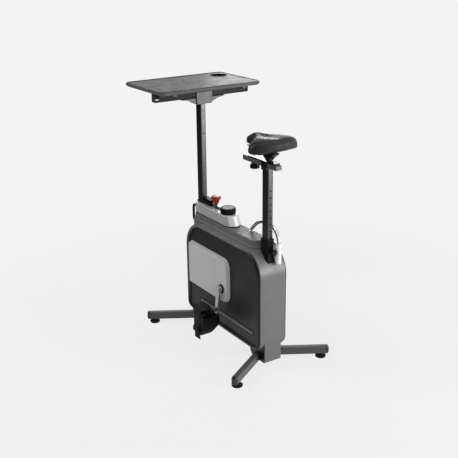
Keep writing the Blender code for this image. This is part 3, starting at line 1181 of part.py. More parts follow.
def saddle_half_width(share):
    """Half width of the saddle at a share of its length from the nose: a slim nose that swells to the rear."""
    if share < 0.07:
        return SADDLE_NOSE_HALF_WIDTH * math.sqrt(max(1 - ((0.07 - share) / 0.07) ** 2, 0.0))
    swell = min(max((share - 0.20) / 0.52, 0.0), 1.0)
    swell = swell * swell * (3 - 2 * swell)
    width = SADDLE_NOSE_HALF_WIDTH + 0.010 * share + (SADDLE_HALF_WIDTH - SADDLE_NOSE_HALF_WIDTH - 0.010) * swell
    if share > 0.74:
        width *= math.sqrt(max(1 - ((share - 0.74) / 0.2605) ** 1.6, 0.0))
    return width


def saddle_crown(share):
    """Height of the saddle's ridge: the nose dips, the rear kicks up."""
    nose = 0.022 * math.exp(-(share / 0.18) ** 2)
    dip = 0.006 * math.exp(-((share - 0.48) / 0.20) ** 2)
    tail = 0.012 * max((share - 0.86) / 0.14, 0.0) ** 2
    return SADDLE_CROWN - nose - dip - tail


def pan_height(x):
    """Underside of the saddle pan, level along the middle."""
    return SADDLE_SKIRT - SADDLE_PAN_THICKNESS - GAP


def saddle_pan(look, parent):
    """Moulded pan under the cushion, drawn in from its edge all round."""
    rings = []
    low = pan_height(CLAMP_X)
    for level, factor in ((low, 0.60), (low + SADDLE_PAN_THICKNESS * 0.5, 0.70), (low + SADDLE_PAN_THICKNESS, 0.72)):
        left = []
        right = []
        for step in range(19):
            share = 0.08 + 0.66 * step / 18
            x = SADDLE_NOSE + (SADDLE_TAIL - SADDLE_NOSE) * share
            half = max(saddle_half_width(share) * factor, 0.004)
            left.append(Vector((x, half, level)))
            right.append(Vector((x, -half, level)))
        rings.append(left + right[::-1])
    return finished(linked("saddle_pan", loft(rings)), look["black"], (CLAMP_X, 0, CLAMP_PIVOT_Z), parent)


def saddle_edge(share, y, half):
    """Height of the lower edge: it droops at the wings and rises under the nose and in two arches at the tail."""
    tail = min(max((share - 0.62) / 0.36, 0.0), 1.0) ** 2
    nose = min(max((0.30 - share) / 0.22, 0.0), 1.0) ** 2
    lift = SADDLE_TAIL_LIFT * tail * (1 - (y / SADDLE_HALF_WIDTH) ** 4 - 0.25 * math.exp(-(y / 0.022) ** 2))
    wing = min(max((share - 0.40) / 0.25, 0.0), 1.0)
    droop = SADDLE_WING_DROOP * wing * max((abs(y) / half - 0.84) / 0.16, 0.0) ** 2
    return SADDLE_SKIRT + lift + 0.006 * nose - droop


def saddle_section(share, sides=28):
    """One cross-section of the cushion: flat below, drawn in at the skirt, crowned, with a middle channel."""
    x = SADDLE_NOSE + (SADDLE_TAIL - SADDLE_NOSE) * share
    half = max(saddle_half_width(share), 0.003)
    slim = min(1.0, 0.35 + 0.65 * math.sqrt(half / SADDLE_NOSE_HALF_WIDTH))
    channel = SADDLE_CHANNEL * math.exp(-((share - 0.62) / 0.30) ** 4)
    points = []
    for step in range(sides):
        angle = math.tau * step / sides
        across = math.cos(angle)
        rise = math.sin(angle)
        y = half * math.copysign(abs(across) ** 0.68, across)
        edge = saddle_edge(share, y, half)
        height = (saddle_crown(share) - edge) * slim
        if rise >= 0:
            z = edge + height * (0.13 + 0.87 * rise ** 0.60) - channel * math.exp(-(y / 0.020) ** 2)
        else:
            y *= 1 + 0.03 * rise
            z = edge + height * 0.13 * (1 + max(rise * 2.6, -1.0))
        points.append(Vector((x, y, z)))
    return points


def saddle(look, parent):
    shares = [0.004, 0.02, 0.05, 0.09, 0.15, 0.22, 0.29, 0.36, 0.43, 0.50, 0.57, 0.64, 0.71, 0.78, 0.84, 0.89, 0.93,
              0.96, 0.98, 0.995]
    item = linked("saddle", loft([saddle_section(share) for share in shares]))
    return finished(item, look["saddle"], (CLAMP_X, 0, CLAMP_PIVOT_Z), parent, 50.0)


def desk_post(look):
    return post_tube("desk_post", DESK_POST_X, DESK_POST_BOTTOM, DESK_POST_TOP, [DESK_POST_HOLE],
                     (DESK_POST_X, 0, CONSOLE_TOP), look["post"])


def desk_head(look, parent):
    """Bracket that caps the desk post and flares into a gusset on both sides."""
    top = HEAD_TOP
    front = DESK_POST_X + POST_DEPTH / 2 + 0.004
    head = linked("desk_head", block(HEAD_REAR, front, -HEAD_HALF_WIDTH, HEAD_HALF_WIDTH, HEAD_BOTTOM, top))
    rounded(head, 0.0025, 1, 60)
    edge = []
    for step in range(9):
        share = step / 8
        edge.append((HEAD_HALF_WIDTH + (GUSSET_SPAN - HEAD_HALF_WIDTH) * share,
                     HEAD_BOTTOM + 0.004 + (top - GUSSET_EDGE - HEAD_BOTTOM - 0.004) * math.sin(share * math.pi / 2)))
    edge.append((GUSSET_SPAN, top))
    outline = edge + [(-y, z) for y, z in edge[::-1]]
    add(head, prism(outline, "x", HEAD_REAR + GUSSET_INSET, front - GUSSET_INSET))
    add(head, block(HEAD_REAR, DESK_BEAM_REAR - GAP, -HEAD_HALF_WIDTH, HEAD_HALF_WIDTH, top - 0.004, HEAD_PLATE_TOP))
    cut(head, prism(post_outline(DESK_POST_X, GAP), "z", HEAD_BOTTOM - 0.01, DESK_POST_TOP + GAP))
    return finished(head, look["neck"], (DESK_POST_X, 0, CONSOLE_TOP), parent)


def desk_beam(look, parent):
    """Folded channel that carries the desk across the post, open below."""
    low = DESK_BEAM_BOTTOM
    high = low + DESK_BEAM_HEIGHT
    beam = linked("desk_beam", block(DESK_BEAM_REAR, DESK_BEAM_FRONT, -BEAM_SPAN, BEAM_SPAN, low, high))
    rounded(beam, 0.002, 1, 60)
    wall = 0.0025
    for side in (-1, 1):
        edges = sorted((side * (HEAD_HALF_WIDTH + 0.010), side * (BEAM_SPAN + 0.01)))
        cut(beam, block(DESK_BEAM_REAR + wall, DESK_BEAM_FRONT - wall, edges[0], edges[1], low - 0.01, high - wall))
    return finished(beam, look["neck"], (DESK_POST_X, 0, CONSOLE_TOP), parent)


def support_bar(look, parent):
    """Flat bar under the beam whose turned-up ends steady the sides of the desk."""
    low = BAR_BOTTOM
    high = low + BAR_THICKNESS
    end_top = DESK_UNDERSIDE - GAP
    wall = BAR_THICKNESS
    span = BAR_SPAN
    outline = [(-span, low + 0.004), (-span + 0.004, low), (span - 0.004, low), (span, low + 0.004), (span, end_top),
               (span - wall, end_top), (span - wall, high), (-span + wall, high), (-span + wall, end_top), (-span, end_top)]
    item = linked("support_bar", prism(outline, "x", BAR_X - BAR_WIDTH / 2, BAR_X + BAR_WIDTH / 2))
    return finished(item, look["black"], (DESK_POST_X, 0, CONSOLE_TOP), parent)


def desk_outline(inset):
    return rounded_box_outline(DESK_REAR + inset, DESK_FRONT - inset, -DESK_HALF_WIDTH + inset,
                               DESK_HALF_WIDTH - inset, (max(DESK_CORNER - inset, 0.004),) * 4, 5)


def desk_top(look):
    """Tray with a rounded edge, a low rim, a cup hole, a tablet slot, a round pad recess and two slide strips."""
    low = DESK_UNDERSIDE
    high = DESK_TOP_HEIGHT
    levels = ((low, 0.010), (low + 0.004, 0.003), (low + 0.009, 0.0), (high - 0.004, 0.0), (high - 0.001, 0.0015),
              (high, 0.004))
    rings = [[Vector((x, y, level)) for x, y in desk_outline(inset)] for level, inset in levels]
    desk = linked("desk_top", loft(rings))
    for side in (-1, 1):
        middle = side * RUNNER_Y
        add(desk, block(RUNNER_REAR, RUNNER_FRONT, middle - RUNNER_WIDTH / 2, middle + RUNNER_WIDTH / 2,
                        DESK_BEAM_BOTTOM + DESK_BEAM_HEIGHT + GAP, low + 0.001))
    cut(desk, prism(desk_outline(DESK_RIM), "z", high - DESK_DISH, high + 0.01))
    cut(desk, rod("z", (CUP_X, CUP_Y, 0), CUP_RADIUS + CUP_WALL + GAP, low - 0.01, high + 0.01, 24))
    cut(desk, block(SLOT_X - SLOT_WIDTH / 2, SLOT_X + SLOT_WIDTH / 2, -SLOT_LENGTH / 2, SLOT_LENGTH / 2,
                    high - DESK_DISH - SLOT_DEPTH, high + 0.01))
    ring = turned([(PAD_RADIUS - 0.002, high - DESK_DISH - 0.001), (PAD_RADIUS, high - DESK_DISH - 0.001),
                   (PAD_RADIUS, high + 0.01), (PAD_RADIUS - 0.002, high + 0.01)], "z", (PAD_X, 0, 0), 24, True)
    cut(desk, ring)
    return finished(desk, look["desk"], (DESK_POST_X, 0, low))


def cup_holder(look, parent):
    """Cup well with a lip that rests on the floor of the tray."""
    lip_low = DESK_TOP_HEIGHT - DESK_DISH + GAP
    lip_high = lip_low + 0.0015
    base = DESK_TOP_HEIGHT - CUP_DEPTH
    outer = CUP_RADIUS + CUP_WALL
    profile = [(0, base), (outer - 0.004, base), (outer, base + 0.004), (outer, lip_low), (outer + 0.0025, lip_low),
               (outer + 0.002, lip_high), (CUP_RADIUS, lip_high), (CUP_RADIUS, base + 0.006),
               (CUP_RADIUS - 0.004, base + CUP_WALL), (0, base + CUP_WALL)]
    item = linked("cup_holder", turned(profile, "z", (CUP_X, CUP_Y, 0), 24))
    return finished(item, look["black"], (DESK_POST_X, 0, DESK_UNDERSIDE), parent)


def build():
    for item in list(bpy.data.objects):
        bpy.data.objects.remove(item)
    look = looks()
    case_band(look)
    side_cover("left_cover", 1, look)
    side_cover("right_cover", -1, look)
    crank_housing("left_crank_housing", 1, look)
    crank_housing("right_crank_housing", -1, look)
    axle_seal("left_axle_seal", 1, look)
    axle_seal("right_axle_seal", -1, look)
    inner_frame(look)
    axle = crank_axle(look)
    for label, side in (("left", 1), ("right", -1)):
        crank_arm(label + "_crank", side, look, axle)
        pedal_spindle(label + "_spindle", side, look, axle)
        body = pedal(label + "_pedal", side, look, axle)
        pedal_strap(label + "_strap", side, look, body)
    flywheel(look)
    drive_belt(look)
    magnet_arm(look)
    neck(look)
    console_seal(look)
    console(look)
    resistance_dial(look)
    desk_collar(look)
    desk_lock_pin(look)
    lever_knob(look, lever_stem(look))
    front_loop(look)
    seat_collar(look)
    seat_pin(look)
    rear_handle(look)
    handle_sleeve(look)
    foot_bracket("front_foot_bracket", 1, look)
    foot_bracket("rear_foot_bracket", -1, look)
    for label, end in (("front", 1), ("rear", -1)):
        for hand, side in (("left", 1), ("right", -1)):
            leg(label + "_" + hand + "_leg", end, side, look)
            leg_cap(label + "_" + hand + "_leg_cap", end, side, look)
            levelling_foot(label + "_" + hand + "_foot", end, side, look)
    post = seat_post(look)
    seat_rail(look, post)
    carriage = saddle_carriage(look)
    carriage.parent = post
    carriage.location = ORIGINS["saddle_carriage"] - ORIGINS["seat_post"]
    rail_knob(look)
    clamp = saddle_clamp(look)
    saddle_pan(look, clamp)
    saddle(look, clamp)
    mast = desk_post(look)
    desk_head(look, mast)
    desk_beam(look, mast)
    support_bar(look, mast)
    tray = desk_top(look)
    cup_holder(look, tray)
    bpy.context.view_layer.update()


build()
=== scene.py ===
import json
import math

import bmesh
import bpy
from mathutils import Matrix, Vector
from mathutils.bvhtree import BVHTree
from mathutils.kdtree import KDTree


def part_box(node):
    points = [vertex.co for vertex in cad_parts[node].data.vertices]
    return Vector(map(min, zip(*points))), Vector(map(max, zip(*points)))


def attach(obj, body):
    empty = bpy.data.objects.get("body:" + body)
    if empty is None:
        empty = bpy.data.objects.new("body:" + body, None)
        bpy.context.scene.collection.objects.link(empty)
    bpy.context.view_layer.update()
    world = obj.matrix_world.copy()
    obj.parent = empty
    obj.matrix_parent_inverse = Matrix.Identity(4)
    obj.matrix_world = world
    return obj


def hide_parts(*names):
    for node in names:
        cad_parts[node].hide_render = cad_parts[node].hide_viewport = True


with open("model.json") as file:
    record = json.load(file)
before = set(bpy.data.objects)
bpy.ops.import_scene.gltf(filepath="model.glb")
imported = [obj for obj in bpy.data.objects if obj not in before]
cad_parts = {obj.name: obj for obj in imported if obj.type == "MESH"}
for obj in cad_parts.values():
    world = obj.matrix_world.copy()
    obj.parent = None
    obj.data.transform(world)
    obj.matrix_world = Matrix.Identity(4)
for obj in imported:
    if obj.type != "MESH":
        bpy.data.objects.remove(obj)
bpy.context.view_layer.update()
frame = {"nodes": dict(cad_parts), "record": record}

scene = bpy.context.scene
print("frame loaded:", len(frame["nodes"]), "nodes")


# view and light
cameraView = {"place": (-2.9296, 1.9049, 1.806), "yaw": 33.208, "pitch": 19.836, "roll": -0.628,
              "focal": 798.47, "frame": 458, "sensor": 36.0, "reach": 200}


def addCamera(look):
    yaw, pitch, roll = (math.radians(look[key]) for key in ("yaw", "pitch", "roll"))
    ahead = Vector((math.cos(yaw) * math.cos(pitch), -math.sin(yaw) * math.cos(pitch), -math.sin(pitch)))
    level = Vector((-math.sin(yaw), -math.cos(yaw), 0))
    upright = level.cross(ahead)
    right = math.cos(roll) * level + math.sin(roll) * upright
    up = -math.sin(roll) * level + math.cos(roll) * upright
    lens = bpy.data.cameras.new("viewCamera")
    lens.sensor_width = look["sensor"]
    lens.lens = look["sensor"] * look["focal"] / look["frame"]
    lens.clip_end = look["reach"]
    camera = bpy.data.objects.new("viewCamera", lens)
    scene.collection.objects.link(camera)
    turn = Matrix((right, up, -ahead)).transposed().to_4x4()
    camera.matrix_world = Matrix.Translation(look["place"]) @ turn
    scene.camera = camera


lamps = [
    {"name": "rearSoftbox", "place": (-2.6, -1.8, 0.85), "aim": (-0.1, 0, 0.7), "size": 1.5, "power": 68},
    {"name": "frontSoftbox", "place": (2.2, 2.4, 2.9), "aim": (0, 0, 0.5), "size": 1.6, "power": 60},
    {"name": "backSoftbox", "place": (3.0, -2.0, 1.6), "aim": (-0.1, 0, 0.9), "size": 2.4, "power": 20},
    {"name": "eyeSoftbox", "place": (-2.5, 3.0, 1.9), "aim": (0, 0, 0.6), "size": 0.7, "power": 10},
    {"name": "saddleSoftbox", "place": (1.0, -0.92, 1.22), "aim": (-0.25, 0, 1.04), "size": 0.6, "power": 0.9,
     "spread": 60},
    {"name": "topSoftbox", "place": (-0.4, 0.0, 4.2), "aim": (0, 0, 0.5), "size": 2.6, "power": 34},
]


def addLamp(look):
    lamp = bpy.data.lights.new(look["name"], "AREA")
    lamp.shape = "SQUARE"
    lamp.size = look["size"]
    lamp.energy = look["power"]
    lamp.spread = math.radians(look.get("spread", 180))
    holder = bpy.data.objects.new(look["name"], lamp)
    holder.location = look["place"]
    holder.rotation_euler = (Vector(look["aim"]) - holder.location).to_track_quat("-Z", "Y").to_euler()
    holder.visible_camera = False
    scene.collection.objects.link(holder)


# shader nodes
white = (1, 1, 1, 1)


def setInputs(tree, node, inputs):
    for key, value in inputs.items():
        if isinstance(value, bpy.types.NodeSocket):
            tree.links.new(value, node.inputs[key])
        else:
            node.inputs[key].default_value = value


def addNode(tree, kind, inputs=(), **settings):
    node = tree.nodes.new("ShaderNode" + kind)
    for key, value in settings.items():      # the kind of data comes before the inputs that depend on it
        setattr(node, key, value)
    setInputs(tree, node, dict(inputs))
    return node


def mathNode(tree, kind, first, second):
    return addNode(tree, "Math", {0: first, 1: second}, operation=kind).outputs[0]


def rangeOf(tree, value, start, end, low=0.0, high=1.0, smooth=True):
    limits = {"Value": value, "From Min": start, "From Max": end, "To Min": low, "To Max": high}
    kind = "SMOOTHSTEP" if smooth else "LINEAR"
    return addNode(tree, "MapRange", limits, interpolation_type=kind).outputs["Result"]


def objectPlace(tree):
    return addNode(tree, "TexCoord").outputs["Object"]


def patternPlace(tree, stretch=(1, 1, 1)):
    return addNode(tree, "Mapping", {"Vector": objectPlace(tree), "Scale": stretch}).outputs["Vector"]


# surroundings: one side is dark, and only in reflections
studio = {"backdrop": 0.896, "fill": 0.40,
          "shade": 0.03, "shadeSide": (0.55, 0.83, 0.0), "shadeFrom": -0.10, "shadeTo": 0.50,
          "floorTone": 0.70, "floorSpan": 60.0, "floorSides": 96, "floorLevel": -0.0006, "floorShrink": 0.25,
          "glowNear": 0.90, "glowFar": 0.896, "glowFrom": 1.0,
          "mixNear": 0.86, "mixFrom": 1.1, "evenFrom": 2.4}


def shadeTowards(tree, direction, look):
    lean = addNode(tree, "VectorMath", {0: direction, 1: look["shadeSide"]}, operation="DOT_PRODUCT")
    return rangeOf(tree, lean.outputs["Value"], look["shadeFrom"], look["shadeTo"], 1.0, look["shade"])


def emptyTree(owner):
    owner.use_nodes = True
    owner.node_tree.nodes.clear()
    return owner.node_tree, addNode(owner.node_tree, "LightPath").outputs


def addBackdrop(look):
    scene.world = bpy.data.worlds.new("studioWorld")
    tree, ray = emptyTree(scene.world)
    dim = shadeTowards(tree, addNode(tree, "TexCoord").outputs["Generated"], look)
    clear = mathNode(tree, "MAXIMUM", ray["Is Camera Ray"], ray["Is Transmission Ray"])
    lit = mathNode(tree, "MAXIMUM", clear, mathNode(tree, "MULTIPLY", ray["Is Glossy Ray"], dim))
    back = mathNode(tree, "MULTIPLY", lit, look["backdrop"])
    matt = mathNode(tree, "MULTIPLY", ray["Is Diffuse Ray"], look["fill"])
    glow = addNode(tree, "Background", {"Color": white, "Strength": mathNode(tree, "ADD", back, matt)})
    addNode(tree, "OutputWorld", {"Surface": glow.outputs[0]})


def addFloor(look):
    clearSelection()
    bpy.ops.mesh.primitive_circle_add(vertices=look["floorSides"], radius=look["floorSpan"], fill_type="NGON",
                                      location=(0, 0, look["floorLevel"]))
    floor = bpy.context.object
    floor.name = "studioFloor"
    settle(floor)
    paint = bpy.data.materials.new("studioFloor")
    tree, ray = emptyTree(paint)
    dim = shadeTowards(tree, patternPlace(tree, (look["floorShrink"],) * 3), look)
    shiny = mathNode(tree, "MULTIPLY", ray["Is Glossy Ray"], dim)
    lit = mathNode(tree, "MAXIMUM", ray["Is Camera Ray"], shiny)
    away = addNode(tree, "VectorMath", {0: objectPlace(tree)}, operation="LENGTH").outputs["Value"]
    level = rangeOf(tree, away, look["glowFrom"], look["evenFrom"], look["glowNear"], look["glowFar"])
    even = rangeOf(tree, away, look["mixFrom"], look["evenFrom"], look["mixNear"])
    seen = mathNode(tree, "MULTIPLY", ray["Is Camera Ray"], even)
    matt = addNode(tree, "BsdfDiffuse", {"Color": (look["floorTone"],) * 3 + (1,)})
    glow = addNode(tree, "Emission", {"Color": white, "Strength": mathNode(tree, "MULTIPLY", lit, level)})
    cover = mathNode(tree, "MAXIMUM", seen, ray["Is Glossy Ray"])
    mix = addNode(tree, "MixShader", {"Fac": cover, 1: matt.outputs[0], 2: glow.outputs[0]})
    addNode(tree, "OutputMaterial", {"Surface": mix.outputs[0]})
    floor.data.materials.append(paint)


# modelling helpers
edgeLook = {"sharp": 38, "smooth": 35}


def leaveEdit():
    if bpy.context.object and bpy.context.object.mode != "OBJECT":
        bpy.ops.object.mode_set(mode="OBJECT")


def clearSelection():
    leaveEdit()
    bpy.ops.object.select_all(action="DESELECT")


def activate(piece):
    clearSelection()
    piece.select_set(True)
    bpy.context.view_layer.objects.active = piece


def settle(piece):
    activate(piece)
    bpy.ops.object.transform_apply(location=True, rotation=True, scale=True)


def openEdit(piece, kind="FACE", test=None):      # the test picks faces or edges
    activate(piece)
    bpy.ops.object.mode_set(mode="EDIT")
    bpy.ops.mesh.select_mode(type=kind)
    bpy.ops.mesh.select_all(action="DESELECT")
    if test:
        mesh = bmesh.from_edit_mesh(piece.data)
        for part in mesh.faces if kind == "FACE" else mesh.edges:
            part.select_set(bool(test(part)))
        bmesh.update_edit_mesh(piece.data)


def useModifier(piece, kind, **values):
    activate(piece)
    modifier = piece.modifiers.new(kind.title(), kind)
    for key, value in values.items():
        setattr(modifier, key, value)
    bpy.ops.object.modifier_apply(modifier=modifier.name)


def smoothFaces(piece, degrees):
    activate(piece)
    bpy.ops.object.shade_smooth_by_angle(angle=math.radians(degrees))


def softenEdges(piece, width, segments=2, degrees=edgeLook["smooth"]):
    useModifier(piece, "BEVEL", width=width, segments=segments, limit_method="ANGLE",
                angle_limit=math.radians(edgeLook["sharp"]))
    smoothFaces(piece, degrees)
    useModifier(piece, "WEIGHTED_NORMAL", keep_sharp=True)


def finishPiece(piece, body, finishName, replaced=()):
    piece.data.materials.clear()
    piece.data.materials.append(finishes[finishName])
    settle(piece)
    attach(piece, body)
    if replaced:
        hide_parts(*replaced)
    return piece


def placeMesh(name, mesh):
    piece = bpy.data.objects.new(name, mesh)
    scene.collection.objects.link(piece)
    return piece


def copyPiece(source, name, matrix):
    mesh = source.data.copy()
    mesh.name = name
    mesh.transform(matrix)
    return placeMesh(name, mesh)


def joinPieces(pieces, name):
    if len(pieces) > 1:
        clearSelection()
        for piece in pieces:
            piece.select_set(True)
        bpy.context.view_layer.objects.active = pieces[0]
        bpy.ops.object.join()
    pieces[0].name = name
    pieces[0].data.name = name
    return pieces[0]


def shift(piece, x, y, z):
    piece.data.transform(Matrix.Translation((x, y, z)))


def dropPiece(piece):
    bpy.data.objects.remove(piece)


def alongNormal(place, normal, spin=0.0):
    turn = Vector(normal).to_track_quat("Z", "Y").to_matrix().to_4x4()
    return Matrix.Translation(place) @ turn @ Matrix.Rotation(spin, 4, "Z")


# finishes: patterns
def noisePattern(tree, place, scale, detail=4.0, roughness=0.55):
    inputs = {"Vector": place, "Scale": scale, "Detail": detail, "Roughness": roughness}
    return addNode(tree, "TexNoise", inputs).outputs["Fac"]


def toneRamp(tree, factor, colour, darker, lighter, start=0.35, end=0.65):
    ramp = addNode(tree, "ValToRGB", {"Fac": factor})
    for stop, place, share in zip(ramp.color_ramp.elements, (start, end), (darker, lighter)):
        stop.position = place
        stop.color = tuple(min(channel * share, 1.0) for channel in colour) + (1,)
    return ramp.outputs["Color"]


def wornOver(tree, factor, roughness, smoother, rougher):
    return rangeOf(tree, factor, 0.3, 0.7, roughness - smoother, roughness + rougher, smooth=False)


def bumpFrom(tree, height, strength, distance, below=None):
    inputs = {"Height": height, "Strength": strength, "Distance": distance}
    if below is not None:
        inputs["Normal"] = below
    return addNode(tree, "Bump", inputs).outputs["Normal"]


def blend(tree, kind, factor, first, second):
    return addNode(tree, "Mix", {"Factor": factor, "A": first, "B": second}, data_type=kind).outputs["Result"]


def blendColours(tree, factor, first, second):
    return blend(tree, "RGBA", factor, first, second)


def banded(tree, axis, start, end, low=0.0, high=1.0):
    source = addNode(tree, "SeparateXYZ", {0: objectPlace(tree)}).outputs[axis]
    if axis == "Y":      # both sides alike
        source = mathNode(tree, "ABSOLUTE", source, 0.0)
    return rangeOf(tree, source, start, end, low, high)


def tintWhere(finish, mask, colour):
    tree = finish.node_tree
    shader = tree.nodes["Principled BSDF"]
    old = shader.inputs["Base Color"].links[0].from_socket
    setInputs(tree, shader, {"Base Color": blendColours(tree, mask, old, tuple(colour) + (1,))})


# finishes: one function for each kind, which gives the shader's inputs
def newFinish(name, kind, colour, roughness, look):
    finish = bpy.data.materials.new(name)
    finish.use_nodes = True
    tree = finish.node_tree
    shader = tree.nodes["Principled BSDF"]
    setInputs(tree, shader, {"Base Color": tuple(colour) + (1,), "Roughness": roughness})
    setInputs(tree, shader, kind(tree, colour, roughness, **look))
    return finish


def paintedSteel(tree, colour, roughness, fleck=0.12, peel=0.10, tones=0.08,
                 gloss=0.4, wear=1.0, metallic=0.0):
    place = patternPlace(tree)
    cloud = noisePattern(tree, place, scale=7.0, detail=3.0)
    grit = noisePattern(tree, place, scale=1500.0, detail=2.0)
    base = toneRamp(tree, cloud, colour, 1 - tones, 1 + tones)
    flecks = toneRamp(tree, grit, colour, 1 - fleck, 1 + 2.2 * fleck, start=0.42, end=0.70)
    rub = noisePattern(tree, place, scale=38.0, detail=5.0)
    skin = noisePattern(tree, place, scale=420.0, detail=2.0)
    return {"Specular IOR Level": gloss, "Metallic": metallic,
            "Base Color": blendColours(tree, 0.45, base, flecks),
            "Roughness": wornOver(tree, rub, roughness, 0.05 * wear, 0.07 * wear),
            "Normal": bumpFrom(tree, skin, peel, distance=0.0004)}


def mouldedPlastic(tree, colour, roughness, grain=900.0, depth=0.16, tones=0.07, coat=0.0, gloss=0.3):
    place = patternPlace(tree)
    cloud = noisePattern(tree, place, scale=11.0, detail=4.0)
    cells = addNode(tree, "TexVoronoi", {"Vector": place, "Scale": grain}, feature="SMOOTH_F1")
    fine = noisePattern(tree, place, scale=grain * 1.7, detail=2.0)
    coarse = bumpFrom(tree, cells.outputs["Distance"], depth, distance=0.0003)
    rub = noisePattern(tree, place, scale=26.0, detail=6.0)
    return {"Specular IOR Level": gloss, "Base Color": toneRamp(tree, cloud, colour, 1 - tones, 1 + tones),
            "Normal": bumpFrom(tree, fine, depth * 0.6, distance=0.0002, below=coarse),
            "Roughness": wornOver(tree, rub, roughness, 0.06, 0.08), "Coat Weight": coat}


def brushedMetal(tree, colour, roughness, stretch=(1, 1, 0.03), lines=900.0, depth=0.10):
    streak = noisePattern(tree, patternPlace(tree, stretch), scale=lines, detail=3.0)
    return {"Metallic": 1.0, "Base Color": toneRamp(tree, streak, colour, 0.80, 1.12),
            "Roughness": wornOver(tree, streak, roughness, 0.06, 0.12),
            "Normal": bumpFrom(tree, streak, depth, distance=0.0002)}


def polishedMetal(tree, colour, roughness):
    place = patternPlace(tree)
    smear = noisePattern(tree, place, scale=45.0, detail=6.0, roughness=0.7)
    ripple = noisePattern(tree, place, scale=160.0, detail=2.0)
    return {"Metallic": 1.0, "Base Color": toneRamp(tree, smear, colour, 0.88, 1.08),
            "Roughness": wornOver(tree, smear, roughness, 0.03, 0.08),
            "Normal": bumpFrom(tree, ripple, strength=0.03, distance=0.0003)}


def mattRubber(tree, colour, roughness, grain=1300.0):
    place = patternPlace(tree)
    dust = noisePattern(tree, place, scale=60.0, detail=6.0, roughness=0.7)
    fine = noisePattern(tree, place, scale=grain, detail=3.0)
    return {"Specular IOR Level": 0.2,
            "Base Color": toneRamp(tree, dust, colour, 0.82, 1.55, start=0.38, end=0.74),
            "Normal": bumpFrom(tree, fine, strength=0.25, distance=0.0003),
            "Roughness": wornOver(tree, dust, roughness, 0.08, 0.08)}


def pebbledVinyl(tree, colour, roughness):
    place = patternPlace(tree)
    cloud = noisePattern(tree, place, scale=16.0, detail=4.0)
    warp = addNode(tree, "TexNoise", {"Vector": place, "Scale": 260.0}).outputs["Color"]
    drift = blend(tree, "VECTOR", 0.004, place, warp)
    pebbles = addNode(tree, "TexVoronoi", {"Vector": drift, "Scale": 620.0}, feature="DISTANCE_TO_EDGE")
    crease = rangeOf(tree, pebbles.outputs["Distance"], 0.0, 0.22, smooth=False)
    grain = bumpFrom(tree, crease, strength=0.10, distance=0.0003)
    pore = noisePattern(tree, place, scale=1900.0, detail=2.0)
    rub = noisePattern(tree, place, scale=30.0, detail=5.0)
    return {"Specular IOR Level": 0.34, "Base Color": toneRamp(tree, cloud, colour, 0.86, 1.16),
            "Normal": bumpFrom(tree, pore, strength=0.04, distance=0.0002, below=grain),
            "Roughness": wornOver(tree, rub, roughness, 0.06, 0.08)}


def deskLaminate(tree, colour, roughness):
    place = patternPlace(tree)
    streaks = noisePattern(tree, patternPlace(tree, (1, 0.045, 1)), scale=150.0, detail=6.0, roughness=0.62)
    base = toneRamp(tree, streaks, colour, 0.72, 1.30, start=0.36, end=0.66)
    grit = noisePattern(tree, place, scale=1100.0, detail=2.0, roughness=0.8)
    specks = toneRamp(tree, grit, colour, 0.80, 1.45, start=0.40, end=0.72)
    grain = bumpFrom(tree, streaks, strength=0.10, distance=0.0004)
    rub = noisePattern(tree, place, scale=20.0, detail=6.0)
    return {"Specular IOR Level": 0.25, "Base Color": blendColours(tree, 0.35, base, specks),
            "Normal": bumpFrom(tree, grit, strength=0.14, distance=0.0003, below=grain),
            "Roughness": wornOver(tree, rub, roughness, 0.05, 0.09)}


def sandCastIron(tree, colour, roughness):
    crust = noisePattern(tree, patternPlace(tree), scale=300.0, detail=6.0, roughness=0.7)
    return {"Metallic": 0.55, "Base Color": toneRamp(tree, crust, colour, 0.7, 1.4),
            "Normal": bumpFrom(tree, crust, strength=0.5, distance=0.0006)}


